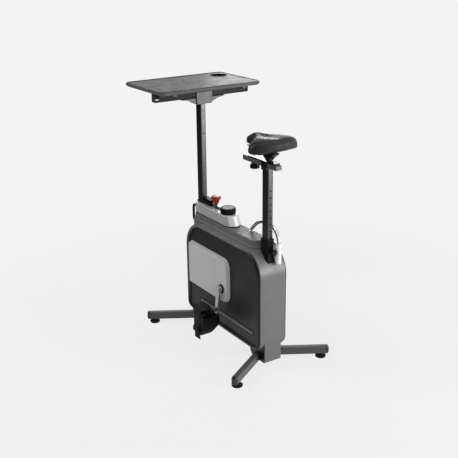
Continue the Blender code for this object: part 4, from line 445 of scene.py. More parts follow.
finishLooks = {
    "casePaint": (paintedSteel, (0.140, 0.142, 0.145), 0.36, {"fleck": 0.14, "gloss": 0.45}),
    "bracketPaint": (paintedSteel, (0.130, 0.132, 0.135), 0.40, {"fleck": 0.14, "peel": 0.12}),
    "silverPlastic": (paintedSteel, (0.47, 0.47, 0.48), 0.36,
                      {"fleck": 0.08, "peel": 0.03, "tones": 0.04, "wear": 0.25}),
    "silverMetal": (paintedSteel, (0.55, 0.55, 0.56), 0.40,
                    {"fleck": 0.06, "peel": 0.02, "tones": 0.04, "gloss": 0.5, "wear": 0.2, "metallic": 0.5}),
    "headPaint": (paintedSteel, (0.100, 0.102, 0.105), 0.40, {"fleck": 0.14, "peel": 0.12}),
    "beamPaint": (paintedSteel, (0.034, 0.034, 0.035), 0.55, {"gloss": 0.10}),
    "blackPaint": (paintedSteel, (0.006, 0.006, 0.0063), 0.34, {"fleck": 0.10, "peel": 0.06, "gloss": 0.3}),
    "postPaint": (paintedSteel, (0.010, 0.010, 0.0105), 0.28, {"fleck": 0.06, "peel": 0.02, "gloss": 0.62}),
    "legPaint": (paintedSteel, (0.070, 0.072, 0.075), 0.38, {"fleck": 0.16, "peel": 0.12}),
    "inlayPaint": (paintedSteel, (0.090, 0.091, 0.093), 0.34, {"peel": 0.08, "gloss": 0.5}),
    "coverPlastic": (mouldedPlastic, (0.015, 0.0155, 0.0165), 0.36,
                     {"grain": 1000.0, "depth": 0.08, "gloss": 0.25}),
    "neckPlastic": (mouldedPlastic, (0.122, 0.124, 0.127), 0.50, {"depth": 0.10, "gloss": 0.25}),
    "blackPlastic": (mouldedPlastic, (0.004, 0.004, 0.0043), 0.36,
                     {"grain": 1000.0, "depth": 0.08, "gloss": 0.12}),
    "sleevePlastic": (mouldedPlastic, (0.88, 0.885, 0.89), 0.50,
                      {"grain": 700.0, "depth": 0.10, "tones": 0.03}),
    "redPlastic": (mouldedPlastic, (0.25, 0.008, 0.010), 0.46,
                   {"grain": 1200.0, "depth": 0.06, "tones": 0.10, "coat": 0.25, "gloss": 0.4}),
    "capPlastic": (mouldedPlastic, (0.008, 0.008, 0.0085), 0.26, {"depth": 0.10, "gloss": 0.6}),
    "creasePlastic": (mouldedPlastic, (0.20, 0.20, 0.205), 0.5, {"depth": 0.1}),
    "steelBright": (brushedMetal, (0.62, 0.62, 0.63), 0.26, {}),
    "dialMetal": (brushedMetal, (0.17, 0.17, 0.175), 0.52,
                  {"stretch": (1, 0.04, 1), "lines": 700.0, "depth": 0.08}),
    "threadSteel": (brushedMetal, (0.34, 0.34, 0.35), 0.34, {"stretch": (1, 1, 1), "lines": 500.0}),
    "blackenedSteel": (brushedMetal, (0.10, 0.10, 0.105), 0.36, {"stretch": (1, 1, 1), "lines": 600.0}),
    "chromeTube": (polishedMetal, (0.70, 0.70, 0.71), 0.10, {}),
    "strapRubber": (mattRubber, (0.010, 0.010, 0.010), 0.62, {}),
    "footRubber": (mattRubber, (0.008, 0.008, 0.008), 0.72, {}),
    "sealRubber": (mattRubber, (0.006, 0.006, 0.006), 0.66, {}),
    "stitchThread": (mattRubber, (0.022, 0.022, 0.023), 0.85, {"grain": 3000.0}),
    "saddleVinyl": (pebbledVinyl, (0.010, 0.010, 0.0105), 0.53, {}),
    "pipingVinyl": (pebbledVinyl, (0.014, 0.014, 0.0145), 0.52, {}),
    "deskBoard": (deskLaminate, (0.052, 0.053, 0.055), 0.50, {}),
    "castIron": (sandCastIron, (0.10, 0.10, 0.105), 0.62, {}),
}
finishes = {name: newFinish(name, *look) for name, look in finishLooks.items()}

# painted shade and painted highlight: the rear and lower parts of the case's side faces are tinted near
# black, and the desk top's edge band is tinted lighter
paintedShadeAndHighlight = {"caseSide": (0.0655, 0.0690), "caseRear": (-0.352, -0.200), "caseLow": (0.100, 0.175),
           "caseDark": (0.006, 0.006, 0.0062), "deskEdge": (1.1880, 1.1915), "edgeShare": 0.9,
           "edgeTone": (0.110, 0.110, 0.112)}


def paintShadeAndHighlight(look):
    tree = finishes["casePaint"].node_tree
    side = banded(tree, "Y", *look["caseSide"])
    rear = banded(tree, "X", *look["caseRear"], 1.0, 0.0)
    low = banded(tree, "Z", *look["caseLow"], 1.0, 0.0)
    shaded = mathNode(tree, "MULTIPLY", side, mathNode(tree, "MAXIMUM", rear, low))
    # painted shade: the rear and lower parts of the case's side faces turn near black
    tintWhere(finishes["casePaint"], shaded, look["caseDark"])
    # painted highlight: the desk top's edge band is tinted lighter
    edge = banded(finishes["deskBoard"].node_tree, "Z", *look["deskEdge"], look["edgeShare"], 0.0)
    tintWhere(finishes["deskBoard"], edge, look["edgeTone"])


paintShadeAndHighlight(paintedShadeAndHighlight)
print("finishes ready:", len(finishes))


# forms for small parts
def latheFrom(name, profile, sides=36, ring=False):
    mesh = bmesh.new()
    rows = []
    for spot in profile:
        radius, height = spot[0], spot[1]
        if radius == 0:
            rows.append([mesh.verts.new((0, 0, height))])
            continue
        row = []
        for step in range(sides):
            turn = step * math.tau / sides
            reach = radius
            if len(spot) > 2:       # six-sided row
                reach = radius / math.cos(turn % (math.pi / 3) - math.pi / 6)
            row.append(mesh.verts.new((reach * math.cos(turn), reach * math.sin(turn), height)))
        rows.append(row)
    for low, high in list(zip(rows, rows[1:])) + ([(rows[-1], rows[0])] if ring else []):
        for step in range(sides):
            corners = []
            for row, spot in ((low, step), (low, step + 1), (high, step + 1), (high, step)):
                corner = row[spot % len(row)]
                if corner not in corners:
                    corners.append(corner)
            mesh.faces.new(corners)
    bmesh.ops.recalc_face_normals(mesh, faces=mesh.faces)
    data = bpy.data.meshes.new(name)
    mesh.to_mesh(data)
    mesh.free()
    piece = placeMesh(name, data)
    smoothFaces(piece, 30)
    return piece


def plateFrom(name, outline, depth, soften=0.0, segments=2):
    mesh = bpy.data.meshes.new(name)
    mesh.from_pydata([(x, y, 0) for x, y in outline], [], [tuple(range(len(outline)))])
    piece = placeMesh(name, mesh)
    openEdit(piece)
    bpy.ops.mesh.select_all(action="SELECT")
    bpy.ops.mesh.extrude_region_move(TRANSFORM_OT_translate={"value": (0, 0, depth)})
    bpy.ops.mesh.select_all(action="SELECT")
    bpy.ops.mesh.normals_make_consistent(inside=False)
    leaveEdit()
    if soften:
        softenEdges(piece, soften, segments)
    return piece


def roundedOutline(width, height, radius, steps=6, centre=(0, 0)):
    outline = []
    for corner, (wayX, wayY) in enumerate(((1, 1), (-1, 1), (-1, -1), (1, -1))):
        for step in range(steps + 1):
            turn = math.radians(90 * corner + 90 * step / steps)
            outline.append((centre[0] + wayX * (width / 2 - radius) + radius * math.cos(turn),
                            centre[1] + wayY * (height / 2 - radius) + radius * math.sin(turn)))
    return outline


def toSide(piece, side, level):      # flat drawing in X and Z, thickened away from the middle plane
    for vertex in piece.data.vertices:
        x, y, z = vertex.co
        vertex.co = (x, side * (level + z), y)
    if side > 0:
        piece.data.flip_normals()
    return piece


def sweepAlong(name, points, radius, closed=False, rings=2):
    curve = bpy.data.curves.new(name, "CURVE")
    curve.dimensions = "3D"
    curve.bevel_depth = radius
    curve.bevel_resolution = rings
    curve.use_fill_caps = not closed
    line = curve.splines.new("POLY")
    line.points.add(len(points) - 1)
    for spot, place in zip(line.points, points):
        spot.co = (place[0], place[1], place[2], 1)
    line.use_cyclic_u = closed
    activate(placeMesh(name, curve))
    bpy.ops.object.convert(target="MESH")
    piece = bpy.context.object
    smoothFaces(piece, 50)
    return piece


# frame nodes redrawn with rounded edges
nodeSlots = {row["node"]: row["material_slot"] for row in frame["record"]["subparts"]}
nodeBodies = {node: body for body, nodes in frame["record"]["behaviour"]["bodies"].items() for node in nodes}
finishOfSlot = {"steel": "steelBright", "chrome": "chromeTube", "rubber": "strapRubber",
                "vinyl": "saddleVinyl", "iron": "castIron"}
# the next two tables name a node, or how the names of several nodes end
finishOfNode = {"desk_beam": "beamPaint", "support_bar": "beamPaint", "_foot": "footRubber",
                "console": "silverMetal", "desk_lock_pin": "threadSteel", "seat_pin": "blackPlastic",
                "console_seal": "sealRubber"}
softNode = "saddle"
edgeWidths = {"case_band": 0.0015, "_cover": 0.0012, "_housing": 0.0012, "_bracket": 0.0012,
              "console": 0.0012, "desk_top": 0.0012, "neck": 0.0010, "desk_beam": 0.0010, "_crank": 0.0010,
              "desk_head": 0.0008, "support_bar": 0.0008, "resistance_dial": 0.0008, "seat_rail": 0.0006,
              "lever_knob": 0.0006, "_collar": 0.0006, "_pedal": 0.0006, "_post": 0.0003}
redrawLook = {"merge": 0.00003, "flat": 0.6, "edge": 0.0004, "smooth": 36, "bracketSide": 0.04}
caseSize = {"rear": -0.367, "front": 0.255, "low": 0.078, "high": 0.546, "side": 0.0755,
            "round": 0.005, "wider": 2.3, "softened": 0.0038,
            "corners": {"rearLow": 0.050, "frontLow": 0.036, "rearHigh": 0.115, "frontHigh": 0.135}}


def caseEdge(x, z):      # depth inside the outline, and the way out
    size = caseSize
    front = x > (size["rear"] + size["front"]) / 2
    high = z > (size["low"] + size["high"]) / 2
    radius = size["corners"][("front" if front else "rear") + ("High" if high else "Low")]
    reachX = (size["front"] - radius - x) if front else (x - size["rear"] - radius)
    reachZ = (size["high"] - radius - z) if high else (z - size["low"] - radius)
    wayX, wayZ = (1 if front else -1), (1 if high else -1)
    if reachX < 0 and reachZ < 0:
        away = math.hypot(reachX, reachZ)
        return radius - away, Vector((-wayX * reachX / away, 0, -wayZ * reachZ / away))
    if reachX < reachZ:
        return radius + reachX, Vector((wayX, 0, 0))
    return radius + reachZ, Vector((0, 0, wayZ))


def widenCaseRound(piece):
    size = caseSize
    openEdit(piece, "FACE", lambda face: abs(face.normal.y) > 0.99
             and abs(face.calc_center_median().y) > size["side"] - 0.0005)
    bpy.ops.mesh.quads_convert_to_tris(quad_method="BEAUTY", ngon_method="BEAUTY")
    leaveEdit()
    flat = size["side"] - size["round"] - 0.0001
    for vertex in piece.data.vertices:
        depth, out = caseEdge(vertex.co.x, vertex.co.z)
        if depth < size["round"] + 0.0002 and abs(vertex.co.y) > flat:
            more = size["wider"] - 1
            side = math.copysign(1, vertex.co.y)
            vertex.co -= out * depth * more
            vertex.co.y -= side * (size["side"] - abs(vertex.co.y)) * more

    def onRound(spot):
        depth, _ = caseEdge(spot.x, spot.z)
        return 0.001 < depth < size["round"] * size["wider"] * 0.6 and abs(spot.y) > size["side"] - 0.008

    openEdit(piece, "EDGE", lambda edge: all(onRound(corner.co) for corner in edge.verts))
    bpy.ops.mesh.bevel(offset=size["softened"], segments=4, affect="EDGES", clamp_overlap=True)
    leaveEdit()


def copyNode(nodeName, pieceName):      # left open in edit mode
    mesh = frame["nodes"][nodeName].data.copy()
    mesh.name = pieceName
    piece = placeMesh(pieceName, mesh)
    openEdit(piece, "VERT")
    bpy.ops.mesh.select_all(action="SELECT")
    bpy.ops.mesh.customdata_custom_splitnormals_clear()
    bpy.ops.mesh.remove_doubles(threshold=redrawLook["merge"])
    return piece


def byName(table, nodeName, usual):
    return next((value for ending, value in table.items() if nodeName.endswith(ending)), usual)


def redrawNode(nodeName, look):
    piece = copyNode(nodeName, nodeName + "Shell")
    bpy.ops.mesh.dissolve_limited(angle_limit=math.radians(look["flat"]))
    leaveEdit()
    if nodeName == "case_band":
        widenCaseRound(piece)
    softenEdges(piece, byName(edgeWidths, nodeName, look["edge"]), degrees=look["smooth"])
    slotName = nodeSlots[nodeName]
    first, *rest = slotName.split("_")
    slotFinish = finishOfSlot.get(slotName, first + "".join(rest).title())      # case_paint takes casePaint
    finishName = byName(finishOfNode, nodeName, slotFinish)
    finishPiece(piece, nodeBodies[nodeName], finishName, (nodeName,))
    if nodeName.endswith("_bracket"):      # its side faces are painted black as painted shade
        piece.data.materials.append(finishes["blackPaint"])
        for face in piece.data.polygons:
            face.material_index = int(abs(face.normal.y) > 0.7 and abs(face.center.y) > look["bracketSide"])
    return piece


shells = {}
for nodeName in frame["nodes"]:
    if nodeName != softNode:
        shells[nodeName] = redrawNode(nodeName, redrawLook)
print("shells:", len(shells))


# saddle cushion
saddleForm = {"shrink": 0.985, "voxel": 0.0045, "steps": 20, "cap": 0.005, "room": 0.002, "fill": 0.8,
              "cloth": {"quality": 6, "mass": 0.3, "tension_stiffness": 40, "compression_stiffness": 40,
                        "bending_stiffness": 4, "use_pressure": True, "uniform_pressure_force": 3.5}}


def swellCloth(piece, look):
    start = [vertex.co.copy() for vertex in piece.data.vertices]
    activate(piece)
    cloth = piece.modifiers.new("Cloth", "CLOTH")
    for key, value in look["cloth"].items():
        setattr(cloth.settings, key, value)
    cloth.settings.effector_weights.gravity = 0
    cloth.point_cache.frame_start = 1
    cloth.point_cache.frame_end = look["steps"]
    for step in range(1, look["steps"] + 1):
        scene.frame_set(step)
    bpy.ops.object.modifier_apply(modifier=cloth.name)
    scene.frame_set(1)
    for vertex, before in zip(piece.data.vertices, start):
        move = vertex.co - before
        if move.length > look["cap"]:
            vertex.co = before + move * (look["cap"] / move.length)
    useModifier(piece, "SMOOTH", factor=0.5, iterations=9)


def saddleCushion(look):
    piece = copyNode("saddle", "saddleCushion")
    useModifier(piece, "REMESH", mode="VOXEL", voxel_size=look["voxel"])
    useModifier(piece, "SMOOTH", factor=0.5, iterations=6)
    middle = sum((vertex.co for vertex in piece.data.vertices), Vector()) / len(piece.data.vertices)
    for vertex in piece.data.vertices:
        vertex.co = middle + (vertex.co - middle) * look["shrink"]
    swellCloth(piece, look)
    useModifier(piece, "SUBSURF", levels=1, render_levels=1)
    low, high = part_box("saddle")
    for vertex in piece.data.vertices:     # keeps to the room of the solid
        for axis in range(3):
            vertex.co[axis] = min(max(vertex.co[axis], low[axis] - look["room"]), high[axis] + look["room"])
        vertex.co.z = max(vertex.co.z, low.z)
    return piece


# saddle seams: piping round the widest line, a tucked and stitched seam round the top panel
seamLook = {"centre": (-0.335, 0.0), "turns": 180, "outside": 0.4, "above": 1.2, "low": 0.994, "high": 1.034,
            "layers": 20, "usual": 1.005, "calm": 60, "pitchOfEdge": 0.003, "tail": -0.375, "nose": -0.215,
            "inset": 0.019, "share": 0.42, "groove": 0.0012, "spread": 0.0024, "piping": 0.0013,
            "welt": 0.0005, "stitch": 0.0034, "pitch": 0.0054, "apart": 0.0027, "thread": 0.00042}


def smoothLoop(points, times):
    for _ in range(times):
        points = [(points[step - 1] + points[step] * 2 + points[(step + 1) % len(points)]) / 4
                  for step in range(len(points))]
    return points


def evenLoop(points, pitch):
    total = sum((points[step] - points[step - 1]).length for step in range(len(points)))
    count = max(12, round(total / pitch))
    even, travelled, step = [], 0.0, 0
    for spot in range(count):
        goal = total * spot / count
        while True:
            first, second = points[step % len(points)], points[(step + 1) % len(points)]
            long = (second - first).length
            if travelled + long >= goal or step > 4 * len(points):
                break
            travelled += long
            step += 1
        even.append(first.lerp(second, (goal - travelled) / max(long, 1e-9)))
    return even


def castTree(piece):
    return BVHTree.FromPolygons([vertex.co.copy() for vertex in piece.data.vertices],
                                [tuple(face.vertices) for face in piece.data.polygons])


def fallOnto(tree, x, y):
    return tree.ray_cast(Vector((x, y, seamLook["above"])), Vector((0, 0, -1)))


def edgeLoop(tree, look):      # the line where the cushion is widest
    centreX, centreY = look["centre"]
    ways = []
    for step in range(look["turns"]):
        turn = step * math.tau / look["turns"]
        ways.append(Vector((math.cos(turn), math.sin(turn), 0)))

    def reachFrom(way, height):
        return tree.ray_cast(Vector((centreX, centreY, height)) + way * look["outside"], -way)[0]

    heights = []
    for way in ways:
        best = (-1, look["usual"])
        for layer in range(look["layers"] + 1):
            height = look["low"] + (look["high"] - look["low"]) * layer / look["layers"]
            place = reachFrom(way, height)
            if place is not None:
                best = max(best, (math.hypot(place.x - centreX, place.y - centreY), height))
        heights.append(Vector((best[1], 0, 0)))
    heights = [height.x for height in smoothLoop(heights, look["calm"])]
    places = [reachFrom(way, height) for way, height in zip(ways, heights)]
    return evenLoop(smoothLoop([place for place in places if place is not None], 6), look["pitchOfEdge"])


def panelLoop(tree, edge, look):
    loop = []
    for place in edge:
        spine = Vector((min(max(place.x, look["tail"]), look["nose"]), 0, place.z))
        lean = spine - place
        spot = place + lean.normalized() * min(look["inset"], lean.length * look["share"])
        loop.append(Vector((spot.x, spot.y, 0)))
    return layOnto(tree, smoothLoop(loop, 24))


def layOnto(tree, spots):
    places = [fallOnto(tree, spot.x, spot.y)[0] for spot in spots]
    return [place for place in places if place is not None]


def tuckSeam(piece, loop, look):
    spots = KDTree(len(loop) * 3)
    for step, place in enumerate(loop):
        after = loop[(step + 1) % len(loop)]
        for part in range(3):
            spots.insert(place.lerp(after, part / 3), step * 3 + part)
    spots.balance()
    normals = [vertex.normal.copy() for vertex in piece.data.vertices]
    for vertex, normal in zip(piece.data.vertices, normals):
        away = spots.find(vertex.co)[2]
        if away < look["spread"] * 3:
            vertex.co -= normal * look["groove"] * math.exp(-(away / look["spread"]) ** 2)
    piece.data.update()


def sewPanel(tree, loop, look):
    thick, long = look["thread"], look["stitch"]
    form = latheFrom("stitchForm", [(0, 0), (thick * 0.7, long * 0.06), (thick, long * 0.25),
                                    (thick, long * 0.75), (thick * 0.7, long * 0.94), (0, long)], 6)
    stitches = []
    path = evenLoop(loop, look["pitch"])
    for side in (-1, 1):
        for step, place in enumerate(path):
            ahead = (path[(step + 1) % len(path)] - path[step - 1]).normalized()
            across = Vector((-ahead.y, ahead.x, 0)) * side * look["apart"]
            spot, normal, _, _ = fallOnto(tree, place.x + across.x, place.y + across.y)
            if spot is None:
                continue
            along = (ahead - normal * ahead.dot(normal)).normalized()
            start = spot - along * long / 2 + normal * thick * 0.2
            turn = Matrix((normal, normal.cross(along), along)).transposed().to_4x4()
            stitches.append(copyPiece(form, "saddleStitches", Matrix.Translation(start) @ turn))
    dropPiece(form)
    finishPiece(joinPieces(stitches, "saddleStitches"), "saddle_body", "stitchThread")
    return len(stitches)


def dressSaddle(piece, look):
    tree = castTree(piece)
    edge = edgeLoop(tree, look)
    panel = panelLoop(tree, edge, look)
    tuckSeam(piece, panel, look)
    tree = castTree(piece)
    piping = sweepAlong("saddlePiping", edge, look["piping"], True, 3)
    finishPiece(piping, "saddle_body", "pipingVinyl")
    welt = evenLoop(layOnto(tree, panel), look["pitchOfEdge"])
    finishPiece(sweepAlong("saddleWelt", welt, look["welt"], True), "saddle_body", "sealRubber")
    print("saddle sewn:", sewPanel(tree, panel, look), "stitches")


cushion = saddleCushion(saddleForm)
dressSaddle(cushion, seamLook)
activate(cushion)
bpy.ops.object.shade_smooth()
finishPiece(cushion, "saddle_body", "saddleVinyl", ("saddle",))
print("saddle:", len(cushion.data.vertices), "points")


# small parts
hands = (("left", 1), ("right", -1))
trees = {}


def surfaceSpot(piece, start, way):
    if piece.name not in trees:
        trees[piece.name] = castTree(piece)
    place, normal, _, _ = trees[piece.name].ray_cast(Vector(start), Vector(way))
    return place, normal


def caseOutline(inset, steps=14):
    size = caseSize
    corners = (("frontHigh", 1, 1, 0), ("rearHigh", -1, 1, 90),
               ("rearLow", -1, -1, 180), ("frontLow", 1, -1, 270))
    outline = []
    for key, wayX, wayZ, first in corners:
        x, z = size["front" if wayX > 0 else "rear"], size["high" if wayZ > 0 else "low"]
        radius = size["corners"][key]
        for step in range(steps + 1):
            turn = math.radians(first + 90 * step / steps)
            outline.append((x - wayX * radius + (radius - inset) * math.cos(turn),
                            z - wayZ * radius + (radius - inset) * math.sin(turn)))
    return outline


# case: black beads as painted shade in the groove inside the rim, shoulder lines, inlays of the side
# mouldings, dark beads as painted shade on the creases of the crank housings
# the first line is a black bead, painted shade in the groove between rim and cover
caseLines = [{"name": "CaseBead", "inset": 0.0137, "level": 0.0754, "bead": 0.0006},
             {"name": "ShoulderLine", "inset": 0.0036, "level": 0.0718, "bead": 0.0006}]
inlayLook = {"rear": -0.3075, "front": 0.1365, "height": 0.152, "wide": 0.0140, "level": 0.0653,
             "deep": 0.0026, "soften": 0.0009}
creaseLook = {"x": -0.0265, "low": 0.236, "high": 0.432, "level": 0.0882, "bead": 0.0005}


def runCaseLine(word, side, look):
    path = [(x, side * look["level"], z) for x, z in caseOutline(look["inset"])]
    finishPiece(sweepAlong(word + look["name"], path, look["bead"], True), "frame", "sealRubber")


def inlayMoulding(word, side, look):
    middle = ((look["rear"] + look["front"]) / 2, look["height"])
    long, wide = look["front"] - look["rear"], look["wide"]
    outline = roundedOutline(long, wide, wide / 2 - 0.0001, 10, middle)
    inlay = plateFrom(word + "MouldingInlay", outline, look["deep"], look["soften"], 3)
    finishPiece(toSide(inlay, side, look["level"]), "frame", "inlayPaint")


# a dark bead on the fold of each crank housing, as painted shade in the crease
def creaseHousing(word, side, look):
    heights = (look["low"], (look["low"] + look["high"]) / 2, look["high"])
    path = [(look["x"], side * look["level"], height) for height in heights]
    crease = sweepAlong(word + "HousingCrease", path, look["bead"])
    finishPiece(crease, "frame", "creasePlastic")


for word, side in hands:
    for lineLook in caseLines:
        runCaseLine(word, side, lineLook)
    inlayMoulding(word, side, inlayLook)
    creaseHousing(word, side, creaseLook)
print("case dressed")

# grips: the dial and both knobs have ribs all round
dialRib = {"radius": 0.0010, "waist": 0.5, "tip": 0.0003, "shoulder": 0.0018, "sides": 10}
knobRib = {"radius": 0.0008, "waist": 0.6, "tip": 0.0002, "shoulder": 0.0012, "sides": 8}
grips = [
    {"name": "dialGripRibs", "body": "dial", "rib": dialRib, "long": 0.0220, "count": 40, "radius": 0.0353,
     "centre": (-0.013, 0, 0.6312)},
    {"name": "pinGripRibs", "body": "seat_lock", "rib": knobRib, "long": 0.0115, "count": 20,
     "radius": 0.0134, "centre": (-0.37775, 0, 0.5455), "lying": True},
    {"name": "railGripRibs", "body": "carriage_knob", "rib": knobRib, "long": 0.0130, "count": 28,
     "radius": 0.0199, "centre": (-0.2264, 0, 0.8905)},
]


def gripKnob(look):
    rib, long = look["rib"], look["long"]
    radius, waist = rib["radius"], rib["radius"] * rib["waist"]
    profile = [(0, 0), (waist, rib["tip"]), (radius, rib["shoulder"]),
               (radius, long - rib["shoulder"]), (waist, long - rib["tip"]), (0, long)]
    form = latheFrom("ribForm", profile, rib["sides"])
    x, y, z = look["centre"]
    ribs = []
    for step in range(look["count"]):
        turn = step * math.tau / look["count"]
        across, up = look["radius"] * math.cos(turn), look["radius"] * math.sin(turn)
        if look.get("lying"):
            place = alongNormal((x, y + across, z + up), (1, 0, 0))
        else:
            place = Matrix.Translation((x + across, y + up, z))
        ribs.append(copyPiece(form, look["name"], place))
    dropPiece(form)
    finishPiece(joinPieces(ribs, look["name"]), look["body"], "blackPlastic")


for gripLook in grips:
    gripKnob(gripLook)
print("knobs gripped")

# resistance dial: brushed disc and pointer mark
dialLook = {"x": -0.013, "floor": 0.6547, "disc": 0.0249, "markFrom": 0.0115, "markTo": 0.0215,
            "markWide": 0.0022, "markDeep": 0.0006, "markUp": 0.0010}


def dressDial(look):
    edge = look["disc"]
    disc = latheFrom("dialDisc", [(0, 0), (edge, 0), (edge, 0.0008), (edge - 0.0006, 0.0014),
                                  (edge - 0.0022, 0.0014), (edge - 0.0027, 0.0011), (0.006, 0.0011),
                                  (0.0052, 0.0006), (0.0044, 0.0006), (0.0036, 0.0012), (0, 0.0013)], 64)
    shift(disc, look["x"], 0, look["floor"])
    finishPiece(disc, "dial", "dialMetal")
    long = look["markTo"] - look["markFrom"]
    mark = plateFrom("dialMark", roundedOutline(long, look["markWide"], 0.0010, 5), look["markDeep"], 0.0002)
    middle = look["x"] - (look["markFrom"] + long / 2)
    shift(mark, middle, 0, look["floor"] + look["markUp"])
    finishPiece(mark, "dial", "blackPlastic")


dressDial(dialLook)
print("dial dressed")

# release lever: bezel round its slot, ferrule under the knob
leverLook = {"x": 0.073, "wide": 0.060, "deep": 0.0236, "round": 0.0040, "slotWide": 0.0540,
             "slotDeep": 0.0176, "slotRound": 0.0012, "level": 0.6279, "high": 0.0014,
             "ferruleX": 0.088, "ferruleZ": 0.6366}


def dressLever(look):
    bezel = plateFrom("leverBezel", roundedOutline(look["wide"], look["deep"], look["round"]), look["high"])
    slot = roundedOutline(look["slotWide"], look["slotDeep"], look["slotRound"])
    hole = plateFrom("bezelHole", slot, look["high"] * 3)
    shift(hole, 0, 0, -look["high"])
    useModifier(bezel, "BOOLEAN", object=hole, operation="DIFFERENCE", solver="EXACT")
    dropPiece(hole)
    softenEdges(bezel, 0.0004)
    shift(bezel, look["x"], 0, look["level"])
    finishPiece(bezel, "frame", "blackPlastic")
    ferrule = latheFrom("leverFerrule", [(0.0030, 0), (0.0052, 0), (0.0058, 0.0006), (0.0058, 0.0014),
                                         (0.0050, 0.0020), (0.0044, 0.0030), (0.0030, 0.0030)], 32, True)
    shift(ferrule, look["ferruleX"], 0, look["ferruleZ"])
    finishPiece(ferrule, "lever", "steelBright")


dressLever(leverLook)
print("lever dressed")


# screws, nuts and caps: each modelled once
def socketScrewForm(name, radius, high):
    deep = high * 0.35
    return latheFrom(name, [(0, 0), (radius, 0), (radius, high * 0.72), (radius * 0.93, high * 0.93),
                            (radius * 0.80, high), (radius * 0.56, high), (radius * 0.50, high * 0.96, 6),
                            (radius * 0.48, deep, 6), (0, deep - 0.0001)])


def hexNutForm(name, flat, high, bore):
    return latheFrom(name, [(bore, 0), (flat * 0.95, 0.0), (flat, high * 0.14, 6), (flat, high * 0.86, 6),
                            (flat * 0.95, high), (bore * 1.15, high), (bore, high * 0.86)], ring=True)


def hubCapForm(name):
    return latheFrom(name, [(0, 0), (0.0092, 0), (0.0092, 0.0010), (0.0084, 0.0017), (0.0062, 0.0017),
                            (0.0056, 0.0012), (0.0048, 0.0012), (0.0040, 0.0022), (0.0022, 0.0027),
                            (0, 0.0028)], 40)


def screwPair(name, nodeName, start, size):
    x, y, z = start
    return [(name + hand.title() + "Screw", nodeName, (x, side * y, z), (0, -side, 0), size)
            for hand, side in hands]


# a screw is driven from a start point along a way, and sits where it meets the node
screwLook = {"large": (0.0042, 0.0026), "small": (0.0030, 0.0018), "sunk": 0.0004, "turn": 0.4}
screwPlaces = [
    *screwPair("rearBracket", "rear_foot_bracket", (-0.3197, 0.10, 0.0704), "large"),
    *screwPair("frontBracket", "front_foot_bracket", (0.2080, 0.10, 0.0704), "large"),
    ("seatCollarScrew", "seat_collar", (-0.3190, -0.20, 0.5250), (0, 1, 0), "large"),
    ("deskCollarScrew", "desk_collar", (0.1300, -0.20, 0.6430), (0, 1, 0), "large"),
    ("frontLoopUpperScrew", "front_loop", (0.50, 0.0, 0.5900), (-1, 0, 0), "small"),
    *screwPair("rail", "seat_rail", (-0.3300, 0.20, 0.9270), "small"),
    *screwPair("clampRear", "saddle_clamp", (-0.3330, 0.10, 0.9713), "small"),
]
capPlace = (-0.081, 0.1086, 0.294)
nutLook = {"flat": 0.0082, "high": 0.0044, "bore": 0.0048, "level": 0.0127,
           "places": {"front": (0.3255, 0.2265), "rear": (-0.4242, 0.2313)}}


def placeScrews(look):
    forms = {size: socketScrewForm(size + "ScrewForm", *look[size]) for size in ("large", "small")}
    for name, nodeName, start, way, size in screwPlaces:
        place, normal = surfaceSpot(shells[nodeName], start, way)
        matrix = alongNormal(place - normal * look["sunk"], normal, look["turn"])
        finishPiece(copyPiece(forms[size], name, matrix), nodeBodies[nodeName], "blackenedSteel")
    for form in forms.values():
        dropPiece(form)


def placeCapsAndNuts(look):
    cap = hubCapForm("capForm")
    x, y, z = capPlace
    for hand, side in hands:
        twin = copyPiece(cap, hand + "HubCap", alongNormal((x, side * y, z), (0, side, 0)))
        finishPiece(twin, "crankset", "steelBright")
    dropPiece(cap)
    nut = hexNutForm("nutForm", look["flat"], look["high"], look["bore"])
    for end, (x, y) in look["places"].items():
        for hand, side in hands:
            place = Matrix.Translation((x, side * y, look["level"]))
            twin = copyPiece(nut, end + hand.title() + "Nut", place)
            finishPiece(twin, f"{end}_{hand}_foot_body", "threadSteel")
    dropPiece(nut)


placeScrews(screwLook)
placeCapsAndNuts(nutLook)
print("screws placed:", len(screwPlaces))

# posts: liners in the adjusting holes
linerLook = {"outer": 0.0036, "inner": 0.0032, "deep": 0.0024, "lead": 0.0002}
linerRows = [("seat", "seat_mast", -0.3415, [0.8155 - 0.030 * step for step in range(12)]),
             ("desk", "desk_mast", 0.1878, [0.964])]


def lineHoles(look):
    inner, outer, deep = look["inner"], look["outer"], look["deep"]
    profile = [(inner, look["lead"]), (inner + 0.0003, 0), (outer, 0), (outer, deep), (inner, deep)]
    ring = latheFrom("linerForm", profile, 24, True)
    for word, body, level, heights in linerRows:
        name = word + "HoleLiners"
        rings = [copyPiece(ring, name, alongNormal((level, 0, height), (1, 0, 0))) for height in heights]
        finishPiece(joinPieces(rings, name), body, "sealRubber")
    dropPiece(ring)


lineHoles(linerLook)
print("post holes lined")

# seat rail end plugs
plugLook = {"wide": 0.0290, "high": 0.0200, "round": 0.0030, "deep": 0.0016, "rim": 0.0022, "dish": 0.0005,
            "middleX": -0.278, "middleZ": 0.9270, "reach": 0.3, "sunk": 0.0006}


def plugRail(look):
    plate = plateFrom("plugForm", roundedOutline(look["wide"], look["high"], look["round"]), look["deep"])
    openEdit(plate, "FACE", lambda face: face.normal.z > 0.9)
    bpy.ops.mesh.inset(thickness=look["rim"])
    bpy.ops.transform.translate(value=(0, 0, -look["dish"]))
    leaveEdit()
    softenEdges(plate, 0.0004, degrees=30)
    for word, way in (("rear", -1), ("front", 1)):
        start = (look["middleX"] + way * look["reach"], 0, look["middleZ"])
        place, _ = surfaceSpot(shells["seat_rail"], start, (-way, 0, 0))
        turn = Matrix(((0, 0, way, place.x - way * look["sunk"]), (way, 0, 0, 0), (0, 1, 0, look["middleZ"]),
                       (0, 0, 0, 1)))
        finishPiece(copyPiece(plate, word + "RailPlug", turn), "seat_mast", "capPlastic")
    dropPiece(plate)


plugRail(plugLook)
print("rail plugged")

